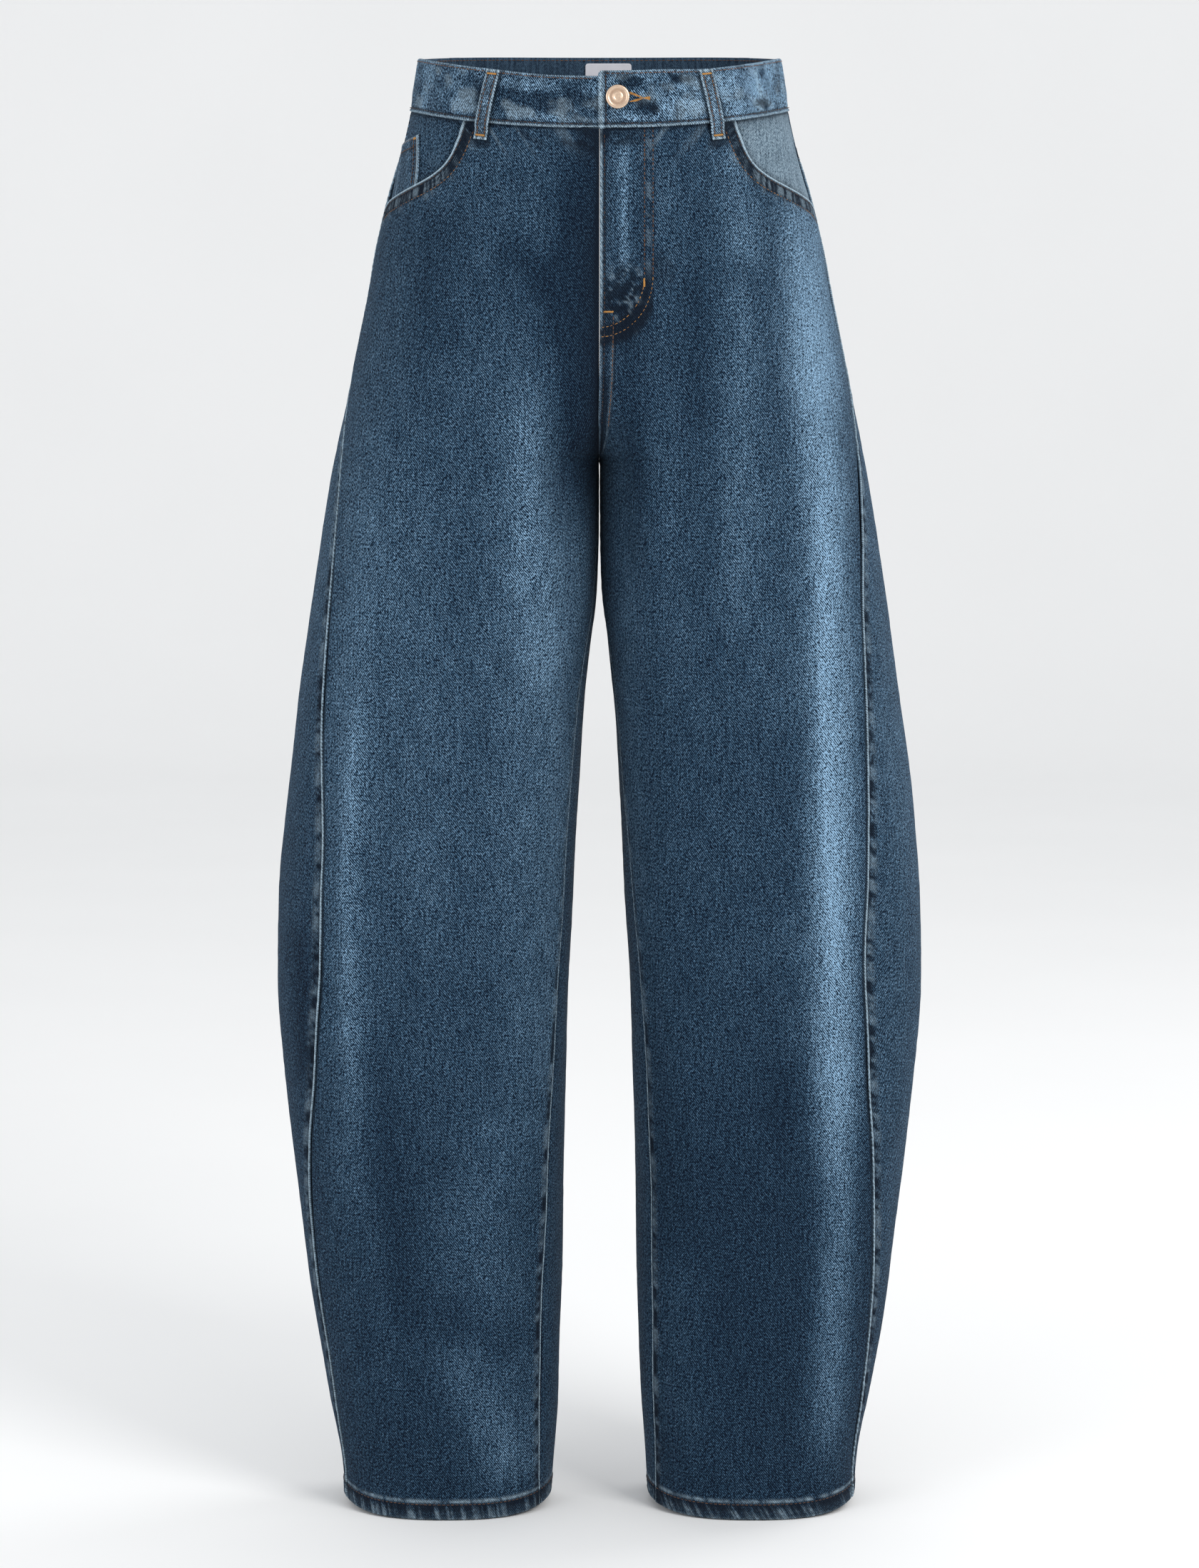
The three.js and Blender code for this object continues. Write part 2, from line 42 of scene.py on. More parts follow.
# Sizes are in millimetres until a mesh is made. Height 0 is the middle of the waistband,
# the front faces -Y, and side 1 is the wearer's left (+X).
garment = {
    "cloth": 1.3, "seamGap": 0.3, "layerGap": 0.4, "bandSeamGap": 0.6,
    "crotch": -262.0, "hem": -1018.0, "hemDepth": 12.0, "hemDip": 7.5, "hemDipStart": -960.0,
    "hemOutside": 0.3, "hemInside": -2.7, "topShapeEnd": -200.0, "edgeRound": 0.55,
    "folds": 1.0, "puckers": 1.0, "ropes": 1.0,
}
band = {"top": 19.0, "foot": -18.0, "outside": 1.2, "inside": -1.3, "frontDip": 13.0, "backRise": 3.7,
    "overEnd": -1.0, "underEnd": 38.0, "overRise": 2.2, "underDrop": 1.4, "lapRun": 20.0, "rope": 0.9,
    "rumple": 0.45, }

outline = {"height": [19, -18, -45, -75, -110, -150, -190, -218, -238, -252, -259, -262, -290, -320, -360,
    -400, -460, -520, -580, -640, -700, -780, -860, -940, -1000, -1030],
    "outer": [127, 133.6, 139.8, 148.8, 157.5, 164.8, 173.2, 178.9, 183.3, 186.3, 187.7, 188.4, 193.6, 199,
    205.4, 211, 219.2, 226.5, 231.4, 232.4, 228.4, 219.6, 211.2, 198.3, 187.8, 186.2],
    "inner": [-127, -133.6, -139.8, -147, -138, -113, -74, -43, -21, -7, -1.6, 0.5, 0.5, 0.6, 2, 6.7, 12.5,
    16.2, 18.8, 22.4, 24, 26.1, 27.6, 29.8, 34.2, 36], }
depths = {
    "height": [19, -18, -60, -110, -150, -190, -262, -320, -400, -500, -600, -700, -800, -900, -1030],
    "front": [97, 100, 103, 105, 107, 108.5, 108, 105, 101, 95, 89, 83, 76, 69, 60],
    "back": [101, 104, 112, 119, 123, 124, 119, 112, 103, 94, 86, 80, 75, 71, 66],
    "power": [2.15, 2.2, 2.25, 2.3, 2.3, 2.3, 2.3, 2.35, 2.4, 2.4, 2.4, 2.4, 2.35, 2.3, 2.25],
}
seams = {"height": [-90, -130, -170, -215, -262, -315, -365, -450, -545, -620, -700, -755, -800, -870, -940,
    -1030], "outRight": [0, 0.02, 0.07, 0.22, 0.45, 0.57, 0.635, 0.715, 0.81, 0.82, 0.75, 0.63, 0.545,
    0.51, 0.46, 0.3], "outLeft": [0, 0.02, 0.06, 0.2, 0.42, 0.6, 0.707, 0.79, 0.852, 0.882, 0.845, 0.777,
    0.71, 0.612, 0.51, 0.3], "inRight": [0, 0, 0, 0, 0, 0.2, 0.3, 0.4, 0.45, 0.46, 0.51, 0.56, 0.57, 0.61,
    0.61, 0.5], "inLeft": [0, 0, 0, 0, 0, 0.1, 0.17, 0.26, 0.36, 0.46, 0.51, 0.53, 0.545, 0.55, 0.52,
    0.43], }
pocketOpening = {
    "share": [0.506, 0.522, 0.538, 0.555, 0.576, 0.605, 0.65, 0.72, 0.8, 0.88, 1],
    "height": [-20, -30, -41, -49.5, -55.5, -60.5, -65.5, -70.8, -76, -80.5, -90],
}
yokeSeam = {"share": [0, 0.5, 1], "height": [-92, -70, -52]}


# Eases from 0 at low to 1 at high, and the other way round where low is the larger.
def smooth(low, high, value):
    share = np.clip((value - low) / (high - low), 0, 1)
    return share * share * (3 - 2 * share)


# A bump that is 1 where the value is 0 and falls away over its width.
def bell(value, width):
    return np.exp(-((value / width) ** 2))


# A smooth curve through a table's rows: cubic pieces whose slope at a row is the harmonic mean of the slopes
# beside it.
def readTable(table, key, column, values):
    keys = np.array(table[key], float)
    data = np.array(table[column], float)
    if keys[0] > keys[-1]:
        keys, data = keys[::-1], data[::-1]
    slopes = np.diff(data) / np.diff(keys)
    before, after = slopes[:-1], slopes[1:]
    agree = before * after > 0
    inner = np.where(agree, 2 * before * after / np.where(agree, before + after, 1), 0)
    tangents = np.concatenate([slopes[:1], inner, slopes[-1:]])
    values = np.clip(np.asarray(values, float), keys[0], keys[-1])
    index = np.clip(np.searchsorted(keys, values, side="right") - 1, 0, len(keys) - 2)
    span = keys[index + 1] - keys[index]
    t = (values - keys[index]) / span
    return (data[index] * (1 + 2 * t) * (1 - t) ** 2 + tangents[index] * span * t * (1 - t) ** 2
            + data[index + 1] * t * t * (3 - 2 * t) + tangents[index + 1] * span * t * t * (t - 1))


# Even noise from -1 to 1: a seeded 64 by 64 lattice read with smooth steps, stretched to a size each way.
def softNoise(across, along, size, seed):
    lattice = np.random.default_rng(seed).random((64, 64)) * 2 - 1
    x, y = np.broadcast_arrays(np.asarray(across, float) / size[0] + 500, np.asarray(along, float)
        / size[1] + 500)
    x0, y0 = np.floor(x).astype(int), np.floor(y).astype(int)
    fx, fy = smooth(0, 1, x - x0), smooth(0, 1, y - y0)
    at = lambda i, j: lattice[(x0 + i) % 64, (y0 + j) % 64]
    low = at(0, 0) * (1 - fx) + at(1, 0) * fx
    high = at(0, 1) * (1 - fx) + at(1, 1) * fx
    return low * (1 - fy) + high * fy


# Noise along a line at two spacings.
def unevenNoise(along, spacing, seed):
    return (0.65 * softNoise(along, 0, (spacing, 1), seed) + 0.5 * softNoise(along, 0, (spacing * 0.43, 1),
        seed + 1))


# The slant of twisted threads along a run: a wave about a middle value, 1 at its crests.
def twistAlong(run, middle, pitch=2.3):
    return middle + (1 - middle) * np.sin(2 * np.pi * run / pitch)


lowest, highest, shareSteps = -1034.0, 26.0, 480  # the leg tables' first and last height, and their columns
grainLine = 95.0  # the cloth's lengthwise grain hangs straight along this distance from the middle


# Near the crotch the depth is averaged up and down at each x, so that no crease crosses the front or back.
def evenCrotch(heights, x, y, outer, sign):
    evened = y.copy()
    window = smooth(-180, -212, heights) * smooth(-350, -315, heights)
    offsets = np.arange(-30, 31)
    weights = bell(offsets, 17.0) / bell(offsets, 17.0).sum()
    for row in np.flatnonzero(window > 0):
        average = 0
        for offset, weight in zip(offsets, weights):
            facing = y[row + offset] * sign > 0
            average = average + weight * np.interp(x[row], x[row + offset][facing], y[row + offset][facing])
        share = window[row] * smooth(8, 46, x[row]) * smooth(outer[row] - 5, outer[row] - 34, x[row])
        share = share * (y[row] * sign > 0)
        evened[row] += share * (average - y[row])
    return evened


# One face of one leg as a table over heights (1 mm apart) and shares of its width: a squared oval
# x = centre + half width * cos^(2/power), y = depth * sin^(2/power), walked by arc length between two seams.
def makeSection(side, face):
    heights = np.arange(lowest, highest + 1)
    outer = readTable(outline, "height", "outer", heights)
    inner = readTable(outline, "height", "inner", heights)
    front = readTable(depths, "height", "front", heights)
    back = readTable(depths, "height", "back", heights)
    power = readTable(depths, "height", "power", heights)
    outShare = readTable(seams, "height", "outLeft" if side > 0 else "outRight", heights)
    inShare = readTable(seams, "height", "inLeft" if side > 0 else "inRight", heights)
    centre, half = (outer + inner) / 2, (outer - inner) / 2
    outAngle = np.arcsin(outShare ** (power / 2))
    cutAngle = np.pi - np.arccos(np.clip(centre / half, 0, 1) ** (power / 2))
    inAngle = np.pi - np.arcsin(inShare ** (power / 2))
    above = heights > garment["crotch"]
    if face == "front":
        start = np.where(above, cutAngle, inAngle)
    else:
        start = np.where(above, -cutAngle, inAngle - 2 * np.pi)
    eased = 0.5 - 0.5 * np.cos(np.linspace(0, np.pi, 900))
    angle = start[:, None] + (outAngle - start)[:, None] * eased
    cosine, sine = np.cos(angle), np.sin(angle)
    curve = (2 / power)[:, None]
    x = centre[:, None] + half[:, None] * np.sign(cosine) * np.abs(cosine) ** curve
    depth = np.where(sine > 0, front[:, None], back[:, None])
    y = -depth * np.sign(sine) * np.abs(sine) ** curve
    steps = np.hypot(np.diff(x, axis=1), np.diff(y, axis=1))
    walked = np.concatenate([np.zeros((len(heights), 1)), np.cumsum(steps, axis=1)], axis=1)
    width = walked[:, -1]
    rows = 2.0 * np.arange(len(heights))[:, None]
    places = (np.linspace(0, 1, shareSteps + 1) + rows).ravel()
    known = (walked / width[:, None] + rows).ravel()
    x = np.interp(places, known, x.ravel()).reshape(len(heights), -1)
    y = np.interp(places, known, y.ravel()).reshape(len(heights), -1)
    kernel = bell(np.arange(-18, 19), 7.0)
    kernel /= kernel.sum()
    soften = lambda grid: np.apply_along_axis(
        lambda column: np.convolve(np.pad(column, 18, mode="edge"), kernel, mode="valid"), 0, grid)
    low = heights < -300
    x = np.where(low[:, None], soften(x), x)
    y = np.where(low[:, None], soften(y), y)
    y = evenCrotch(heights, x, y, outer, -1 if face == "front" else 1)
    alongX, alongY = np.gradient(x, axis=1), np.gradient(y, axis=1)
    size = np.hypot(alongX, alongY)
    turn = 1 if face == "front" else -1
    shares = np.linspace(0, 1, shareSteps + 1)
    forward = -1 if face == "front" else 1
    anchor = np.array([np.interp(grainLine, xs[ys * forward > 0], shares[ys * forward > 0]) for xs,
        ys in zip(x, y)])
    return {"anchor": anchor * width, "x": x, "y": y, "width": width, "outX": turn * alongY / size,
        "outY": -turn * alongX / size, "front": front, "back": back}


sections = {(side, face): makeSection(side, face) for side in (-1, 1) for face in ("front", "back")}


# The row of the leg tables at a height.
def rowOf(height):
    return np.clip(np.asarray(height, float) - lowest, 0, highest - lowest - 0.001)


# How wide a face is at a height, measured along the cloth.
def faceWidth(side, face, height):
    row = rowOf(height)
    width = sections[side, face]["width"]
    return np.interp(row, np.arange(len(width)), width)


# How far across the grain a place is, the same all down a straight thread.
def grainAcross(side, face, height, distance):
    row = rowOf(height)
    anchor = sections[side, face]["anchor"]
    return distance - np.interp(row, np.arange(len(anchor)), anchor)


# Reads a section's tables between their rows of height and columns of share.
def readSection(section, names, height, share):
    row = rowOf(height)
    column = np.clip(share, 0, 1) * (shareSteps - 1e-6)
    r, c = np.floor(row).astype(int), np.floor(column).astype(int)
    fr, fc = row - r, column - c
    out = []
    for name in names:
        grid = section[name]
        low = grid[r, c] * (1 - fc) + grid[r, c + 1] * fc
        high = grid[r + 1, c] * (1 - fc) + grid[r + 1, c + 1] * fc
        out.append(low * (1 - fr) + high * fr)
    return out


# A place on a face by its height and its distance from the middle seam or inseam, moved out by an offset.
def clothPoint(side, face, height, distance, offset=0.0):
    height, distance, offset = np.broadcast_arrays(height, distance, offset)
    share = distance / faceWidth(side, face, height)
    x, y, outX, outY = readSection(sections[side, face], ["x", "y", "outX", "outY"], height, share)
    return np.stack([side * (x + outX * offset), y + outY * offset, height], axis=-1)


# The cloth's outward direction at a place.
def outward(side, face, height, distance):
    height, distance = np.broadcast_arrays(height, distance)
    share = distance / faceWidth(side, face, height)
    outX, outY = readSection(sections[side, face], ["outX", "outY"], height, share)
    return np.stack([side * outX, outY, np.zeros_like(outX)], axis=-1)


# How far forward a place is: 1 at the very front and -1 at the very back.
def frontness(side, face, height, distance):
    section = sections[side, face]
    share = distance / faceWidth(side, face, height)
    (y,) = readSection(section, ["y"], *np.broadcast_arrays(height, share))
    row = rowOf(height)
    rows = np.arange(len(section["front"]))
    return np.where(y < 0, -y / np.interp(row, rows, section["front"]),
        -y / np.interp(row, rows, section["back"]))


# How far the waistband is raised at the back and lowered in front.
def waistShift(forward):
    return band["backRise"] * smooth(0, 1, -forward) - band["frontDip"] * np.clip(forward, 0, 1) ** 2


# How far the hem dips in front.
def hemShift(height, forward):
    return -garment["hemDip"] * smooth(0, 1, forward) * smooth(garment["hemDipStart"], garment["hem"], height)


# The height of the pocket opening at a share of the front's width.
def openingHeight(share):
    return readTable(pocketOpening, "share", "height", share)


# The height of the yoke's seam at a share of the back's width.
def yokeHeight(share):
    return readTable(yokeSeam, "share", "height", share)


# The lower edge of the waistband, less its seam gap.
def bandFootAt(side, face, share):
    distance = share * faceWidth(side, face, band["foot"])
    return band["foot"] + waistShift(frontness(side, face, band["foot"], distance)) - garment["bandSeamGap"]


# The top of a front: under the waistband, then down along the pocket opening.
def frontTop(side, share):
    under = bandFootAt(side, "front", share)
    return np.where(share <= pocketOpening["share"][0], under, np.minimum(under, openingHeight(share)))


# Soft folds and hollows of the cloth by side and face. Each row is a run: its points' distances out from the
# middle, their heights, its width, and how far it lifts the cloth.
folds = {
    (1, "front"): [
        ((150, 163, 166, 168, 160), (-150, -320, -480, -650, -800), 15, 3.2),
        ((128, 136, 140, 143, 137), (-190, -330, -480, -640, -760), 20, -2.0),
        ((108, 104, 98, 92), (-130, -210, -300, -400), 17, 2.2),
        ((60, 64, 66), (-110, -180, -260), 17, -2.4),
        ((30, 34, 38), (-215, -270, -350), 15, 2.4),
        ((14, 16, 20), (-220, -280, -360), 11, -2.2),
        ((150, 138, 118), (-850, -905, -960), 18, 1.4),
        ((70, 84, 92), (-800, -880, -960), 16, -1.4),
        ((66, 80, 88), (-560, -660, -760), 22, -1.6),
    ],
    (-1, "front"): [
        ((166, 174, 178, 178, 172), (-390, -480, -570, -660, -760), 10, 2.6),
        ((150, 158, 160, 158), (-400, -520, -620, -740), 16, -1.5),
        ((54, 50, 42, 34), (-190, -250, -310, -380), 16, 3.4),
        ((28, 24, 18), (-170, -240, -330), 14, -3.2),
        ((118, 100, 78), (-905, -950, -990), 16, 1.8),
        ((132, 116, 96), (-900, -945, -992), 14, -1.6),
        ((60, 74, 86), (-600, -690, -770), 22, -1.8),
        ((110, 120, 122), (-110, -170, -240), 18, 1.6),
    ],
    (-1, "back"): [
        ((24, 50, 84), (-262, -272, -262), 13, -3.4),
        ((30, 66, 104), (-286, -300, -296), 11, 2.2),
        ((120, 128, 126), (-330, -480, -640), 24, 2.4),
        ((60, 92, 130), (-560, -590, -600), 15, -3.0),
        ((64, 98, 138), (-628, -640, -628), 14, -2.2),
        ((90, 100, 104), (-760, -860, -960), 18, -1.8),
    ],
    (1, "back"): [
        ((24, 52, 90), (-258, -270, -256), 13, -3.6),
        ((28, 60, 98), (-284, -298, -288), 11, 2.4),
        ((116, 130, 128), (-340, -500, -660), 24, 2.2),
        ((58, 96, 136), (-572, -596, -590), 15, -2.8),
        ((60, 100, 132), (-634, -652, -650), 15, -2.4),
        ((92, 98, 106), (-740, -850, -960), 18, -1.8),
    ],
}


# Distance from each place to a line of points, and how far along the line its nearest point is.
def nearLine(a, b, lineA, lineB):
    lineA, lineB = np.asarray(lineA, float), np.asarray(lineB, float)
    lengths = np.concatenate([[0], np.cumsum(np.hypot(np.diff(lineA), np.diff(lineB)))])
    best = np.full(np.shape(a), 1e9)
    along = np.zeros(np.shape(a))
    for i in range(len(lineA) - 1):
        da, db = lineA[i + 1] - lineA[i], lineB[i + 1] - lineB[i]
        t = np.clip(((a - lineA[i]) * da + (b - lineB[i]) * db) / (da * da + db * db), 0, 1)
        gap = np.hypot(a - lineA[i] - t * da, b - lineB[i] - t * db)
        nearer = gap < best
        along = np.where(nearer, lengths[i] + t * (lengths[i + 1] - lengths[i]), along)
        best = np.where(nearer, gap, best)
    return best, along


# Sum of a face's runs: a bell across each one, which fades out over a share of its length at both ends.
def sumRuns(runs, side, face, height, distance, ends):
    x = clothPoint(side, face, height, distance)[..., 0] * side
    found = np.zeros(height.shape)
    for lineX, lineZ, width, size in runs[side, face]:
        gap, along = nearLine(x, height, lineX, lineZ)
        share = along / np.hypot(np.diff(lineX), np.diff(lineZ)).sum()
        found = found + size * bell(gap, width) * smooth(0, ends, share) * smooth(1, 1 - ends, share)
    return found


# The folds and a slow even waviness, flat at the waist and the hem.
def foldLift(side, face, height, distance):
    height, distance = np.broadcast_arrays(np.asarray(height, float), np.asarray(distance, float))
    lift = sumRuns(folds, side, face, height, distance, 0.3)
    slow = softNoise(grainAcross(side, face, height, distance) + 300 * side, height, (34, 70), 5
        if face == "front" else 9)
    waist = smooth(-70, -170, height)
    return garment["folds"] * (lift + 0.8 * slow) * waist * smooth(-1016, -960, height)


# A sewn edge that stands proud with a slanting twist, and the puckered strip of turned-in cloth behind it.
def ropeEdge(away, along, seed, rise=0.8, strip=7.5, depth=0.75, spacing=8.0, shade=1.0):
    twist = 0.5 + 0.5 * np.sin(2 * np.pi * (along + 0.8 * away) / 2.1)
    wave = unevenNoise(along + 0.5 * away, spacing * 0.55, seed)
    dips = smooth(0.02, 0.34, wave)
    body = smooth(strip + 1.6, strip - 0.8, away)
    edge = bell(away - 0.8, 0.56)
    behind = smooth(1.2, 2.0, away)
    pit = dips * bell(away - strip * 0.36, strip * 0.42) * behind
    tuft = smooth(-0.05, -0.5, wave) * bell(away - strip * 0.5, strip * 0.42) * behind
    lift = rise * edge * (0.75 + 0.25 * twist) + 0.35 * body * behind + 0.4 * depth * tuft - depth * pit
    pale = edge * (0.82 + 0.38 * twist) + (0.06 * body + 0.22 * tuft) * behind * (1 - dips)
    dark = shade * (1.3 * pit + 0.16 * body * behind) + 0.8 * bell(away - 2.0, 0.55)
    return garment["ropes"] * lift, pale, dark


# The lower cloth beside such an edge: a narrow dark groove.
def groove(away, depth=0.8, wide=0.9):
    return -depth * bell(away, wide), 0 * away, 1.15 * bell(away, wide * 1.3)


# The hem's twisted rope: slanting ridges between the fold and the row of stitches above it.
def hemRope(up, along, seed, slant):
    inside = smooth(garment["hemDepth"] - 0.6, garment["hemDepth"] - 2.2, up)
    phase = along + slant * up
    wave = unevenNoise(phase, 2.5, seed)
    ridge = smooth(-0.15, 0.6, wave)
    clumps = 0.8 + 0.6 * softNoise(phase, up, (2.6, 2.6), seed + 7)
    line = bell(up - garment["hemDepth"] + 0.9, 0.85)
    lift = inside * (0.6 * ridge - 0.15) * smooth(0, 2.5, up) - 0.4 * line
    pale = inside * (0.05 + 0.3 * ridge * smooth(10, 5, up) + 0.22 * bell(up - 0.4, 1.2)) * clumps
    above = bell(up - garment["hemDepth"] - 1.4, 1.2) * (0.34 + 0.34 * unevenNoise(phase, 5, seed + 4))
    dark = inside * ((1 - ridge) * (0.4 + 0.55 * smooth(3, 10, up)) + 0.12) + 0.85 * line
    return garment["ropes"] * lift, pale + above, dark


# Adds up parts of detail, each of which is lift, paleness and darkness.
def total(parts):
    return tuple(sum(part[i] for part in parts) for i in range(3))


fly = {"width": 37.0, "inner": 31.1, "straight": -132.0, "point": -174.0, "lift": 0.9, "liftFlat": 4.0,
       "liftFoot": -245.0, "liftFade": 20.0, "feltRow": 8.6, "innerDrop": 35.5}


# The J of the fly: straight down, then a quarter of an oval to the middle.
def flyCurve(width, drop):
    turn = np.linspace(0, np.pi / 2, 24)
    across = np.concatenate([[width, width], width * np.cos(turn)])
    down = np.concatenate([[-28, -80], fly["straight"] - drop * np.sin(turn)])
    return across, down


# How far the left front stands out over the right one at the fly.
def flyRaise(side, height, distance):
    if side < 0:
        return 0 * height
    fade = smooth(fly["liftFoot"], fly["liftFoot"] + fly["liftFade"], height)
    return fly["lift"] * fade * smooth(fly["width"], fly["liftFlat"], distance)


pocketRows = {"inner": 2.2, "outer": 9.4}  # the two rows of stitches beside the pocket opening
openShares = np.linspace(pocketOpening["share"][0], 1, 40)


# The pocket opening as a line of distances and heights.
def openingLine(side):
    height = openingHeight(openShares)
    return openShares * faceWidth(side, "front", height), height


# The shade of a front belt loop: its middle line, how that leans, half its width, and the dark at its foot.
loopShade = {"middle": 82.8, "lean": 0.2, "half": 5.6, "footAcross": 84, "footDown": 13, "footWide": 7.0,
    "footHigh": 3.4}


# Raised and worn detail of a front panel, with painted shade under the band, the loops and the fly: out in
# mm, paleness and darkness, at a height and distance.
def frontDetail(side, height, distance):
    width = faceWidth(side, "front", height)
    toOut, toIn = width - distance, distance
    forward = frontness(side, "front", height, distance)
    up = height - hemShift(height, forward) - garment["hem"]
    lap = bandFootAt(side, "front", np.clip(distance / faceWidth(side, "front", band["foot"]), 0, 1)) - height
    legs = smooth(garment["crotch"] + 6, garment["crotch"] - 10, height)
    grooveLift, groovePale, grooveDark = groove(toOut, 0.9, 1.35)
    soft = 0.55 * smooth(-240, -290, height) * smooth(-500, -440, height) * (side > 0)
    parts = [(grooveLift, groovePale, grooveDark * (1 - soft))]
    lift, pale, dark = ropeEdge(toIn, height, 31 + side, 0.55, 7.0, 0.6, 11.0)
    worn = 0.55 + 0.45 * smooth(-600, -800, height)
    parts.append((lift * legs, pale * legs * worn, dark * legs * (0.35 + 0.65 * smooth(-560, -760, height))))
    # Short slanting gathers under the waistband, with painted shadow just under the band's edge and blots of
    # painted shade below it
    gather = softNoise(distance + 0.75 * lap, lap, (4.2, 60), 51 + side)
    fadeDown = smooth(26, 3, lap) * smooth(6, 30, distance)
    streak = smooth(0.15, 0.75, gather)
    blots = (smooth(0.1, 0.5, softNoise(distance + 0.5 * lap, lap, (5.5, 5), 53 + side))
        * smooth(17, 8, lap) * smooth(1, 4, lap))
    parts.append((garment["puckers"] * 0.6 * gather * fadeDown, 0.17 * streak * fadeDown,
                  0.3 * bell(lap, 4.0) + 0.55 * bell(lap, 1.1) + 0.5 * blots * smooth(95, 60, distance)))
    # Shade under the band beside the fly
    beside = (smooth(24, 10, distance) * smooth(30, 12, lap) if side < 0
        else 0.5 * smooth(34, 16, distance) * smooth(16, 6, lap))
    parts.append((0 * height, 0 * height, 0.55 * beside))
    # Shade under the belt loop's foot
    spot = loopShade
    foot = np.hypot((distance - spot["footAcross"]) / spot["footWide"], (lap - spot["footDown"])
        / spot["footHigh"])
    fromMiddle = np.abs(distance - spot["middle"] - spot["lean"] * lap)
    besides = bell(fromMiddle - spot["half"], 1.4) * smooth(13, 10, lap)
    parts.append((0 * height, 0 * height, 0.75 * smooth(1.5, 0.8, foot) + 0.7 * besides))
    # The pocket opening: a rolled pale edge, dark ribbed cloth, then the outer row of stitches
    lineD, lineH = openingLine(side)
    near, along = nearLine(distance, height, lineD, lineH)
    run = smooth(0.0, 6, along)
    ribs = unevenNoise(along - 0.35 * near, 2.3, 71 + side)
    ridge = smooth(-0.3, 0.4, ribs)
    between = smooth(1.6, 2.8, near) * smooth(9.4, 8.2, near)
    edge = bell(near - 0.65, 0.72)
    past = smooth(9.4, 10.4, near) * smooth(17, 10, near)
    tufts = smooth(0.1, 0.6, unevenNoise(along, 3.4, 77 + side))
    lower = smooth(20, 50, along)
    parts.append((
        (run * (0.6 * edge + between * (0.65 * ridge - 0.3) - 0.45 * bell(near - 9.4, 0.8) + 0.3 * past
            * tufts)),
        run * (1.35 * edge + (0.1 + 0.42 * lower) * between * ridge + 0.22 * past * tufts),
        (run * (1.0 * bell(near - 2.3, 0.8) + between * (0.3 + 0.3 * (1 - lower) + 0.2 * lower
            + 0.65 * (1 - ridge)) + 0.6 * bell(near - 9.6, 1.1))),
    ))
    if side > 0:
        # The fly's fold and the J of stitches that holds its facing
        down = height > garment["crotch"] - 4
        fold = bell(distance - 1.1, 0.85) * down
        knurl = twistAlong(height - distance, 0.62)
        parts.append((
            0.35 * fold - 0.45 * bell(distance - 3.3, 0.7) * down,
            fold * knurl * (1 - 0.6 * smooth(-130, -165, height)),
            (down * (0.95 * bell(distance - 3.4, 0.8) + 0.3 * bell(distance - 0.1, 0.3)
                + 0.3 * bell(distance - 5.5, 2.5))),
        ))
        outerJ, alongJ = nearLine(distance, height, *flyCurve(fly["width"], fly["straight"] - fly["point"]))
        innerJ, _ = nearLine(distance, height, *flyCurve(fly["inner"], fly["innerDrop"]))
        inJ = (smooth(0.2, 1.6, outerJ) * smooth(0.2, 1.6, innerJ) * bell(outerJ - 3, 3.2)
            * (distance < fly["width"]))
        curve = smooth(90, 118, alongJ)
        rumple = (softNoise(distance + 0.5 * height, height, (3.0, 3.2), 91) * 0.8
            + 0.4 * softNoise(distance, height, (1.7, 1.9), 93))
        # Painted shade below and beside the J: a rumpled patch darker in its troughs, with its crests paler
        # from wear, a painted shadow beside the J and painted shade under its curve.
        low = smooth(1.3, 0.6, np.hypot((distance - 18) / 15, (height + 147) / 25)) * smooth(3, 5, distance)
        shadow = smooth(1.2, 0.5, np.hypot((distance - 44) / 8, (height + 128) / 15) + 0.4 * rumple)
        under = bell(np.hypot((distance - 21) / 11, (height + 166) / 20), 1)
        tufts = smooth(0.0, 0.5, unevenNoise(alongJ + 0.6 * outerJ, 3.6, 92))
        parts.append((
            (0.55 * inJ * (tufts - 0.4) - 0.4 * bell(outerJ, 0.8) - 0.35 * bell(innerJ, 0.8) + 0.9 * low
                * rumple),
            0.3 * low * smooth(0.25, 0.75, rumple) + 0.16 * inJ * tufts * (1 - curve),
            (0.5 * (bell(outerJ, 1.3) + bell(innerJ, 1.3)) + (0.95 * curve + 0.12) * inJ + 0.8 * low
                * smooth(0.45, -0.1, rumple) + 0.42 * shadow + 0.4 * under),
        ))
        # Below the J the edge is a flat strip held by two rows
        strip = smooth(-168, -178, height) * down
        parts.append((
            0.5 * strip * smooth(10.2, 9.2, distance),
            0.35 * strip * bell(distance - 9.3, 0.7) * knurl,
            (strip * (0.55 * bell(distance - 10.6, 0.9) + 0.5 * smooth(2.6, 4, distance)
                * smooth(9, 7.6, distance) * smooth(-190, -215, height))),
        ))
    else:
        # Painted shadow down the middle beside the left front's lap, and painted shade in the hollow along
        # the middle seam.
        down = smooth(garment["crotch"] - 10, garment["crotch"] + 10, height)
        hollow = smooth(-60, -120, height) * smooth(-400, -320, height)
        parts.append((
            0 * height,
            0 * height,
            (down * (0.8 * bell(distance, 2.8) + 0.25 * bell(distance, 9.0)) + 0.42 * hollow
                * bell(distance, 17)),
        ))
    low = smooth(40, 20, up)
    ropes = hemRope(up, side * distance, 111 + side, 0.55 if side > 0 else 0.15)
    parts.append(tuple(low * value for value in ropes))
    return total(parts)


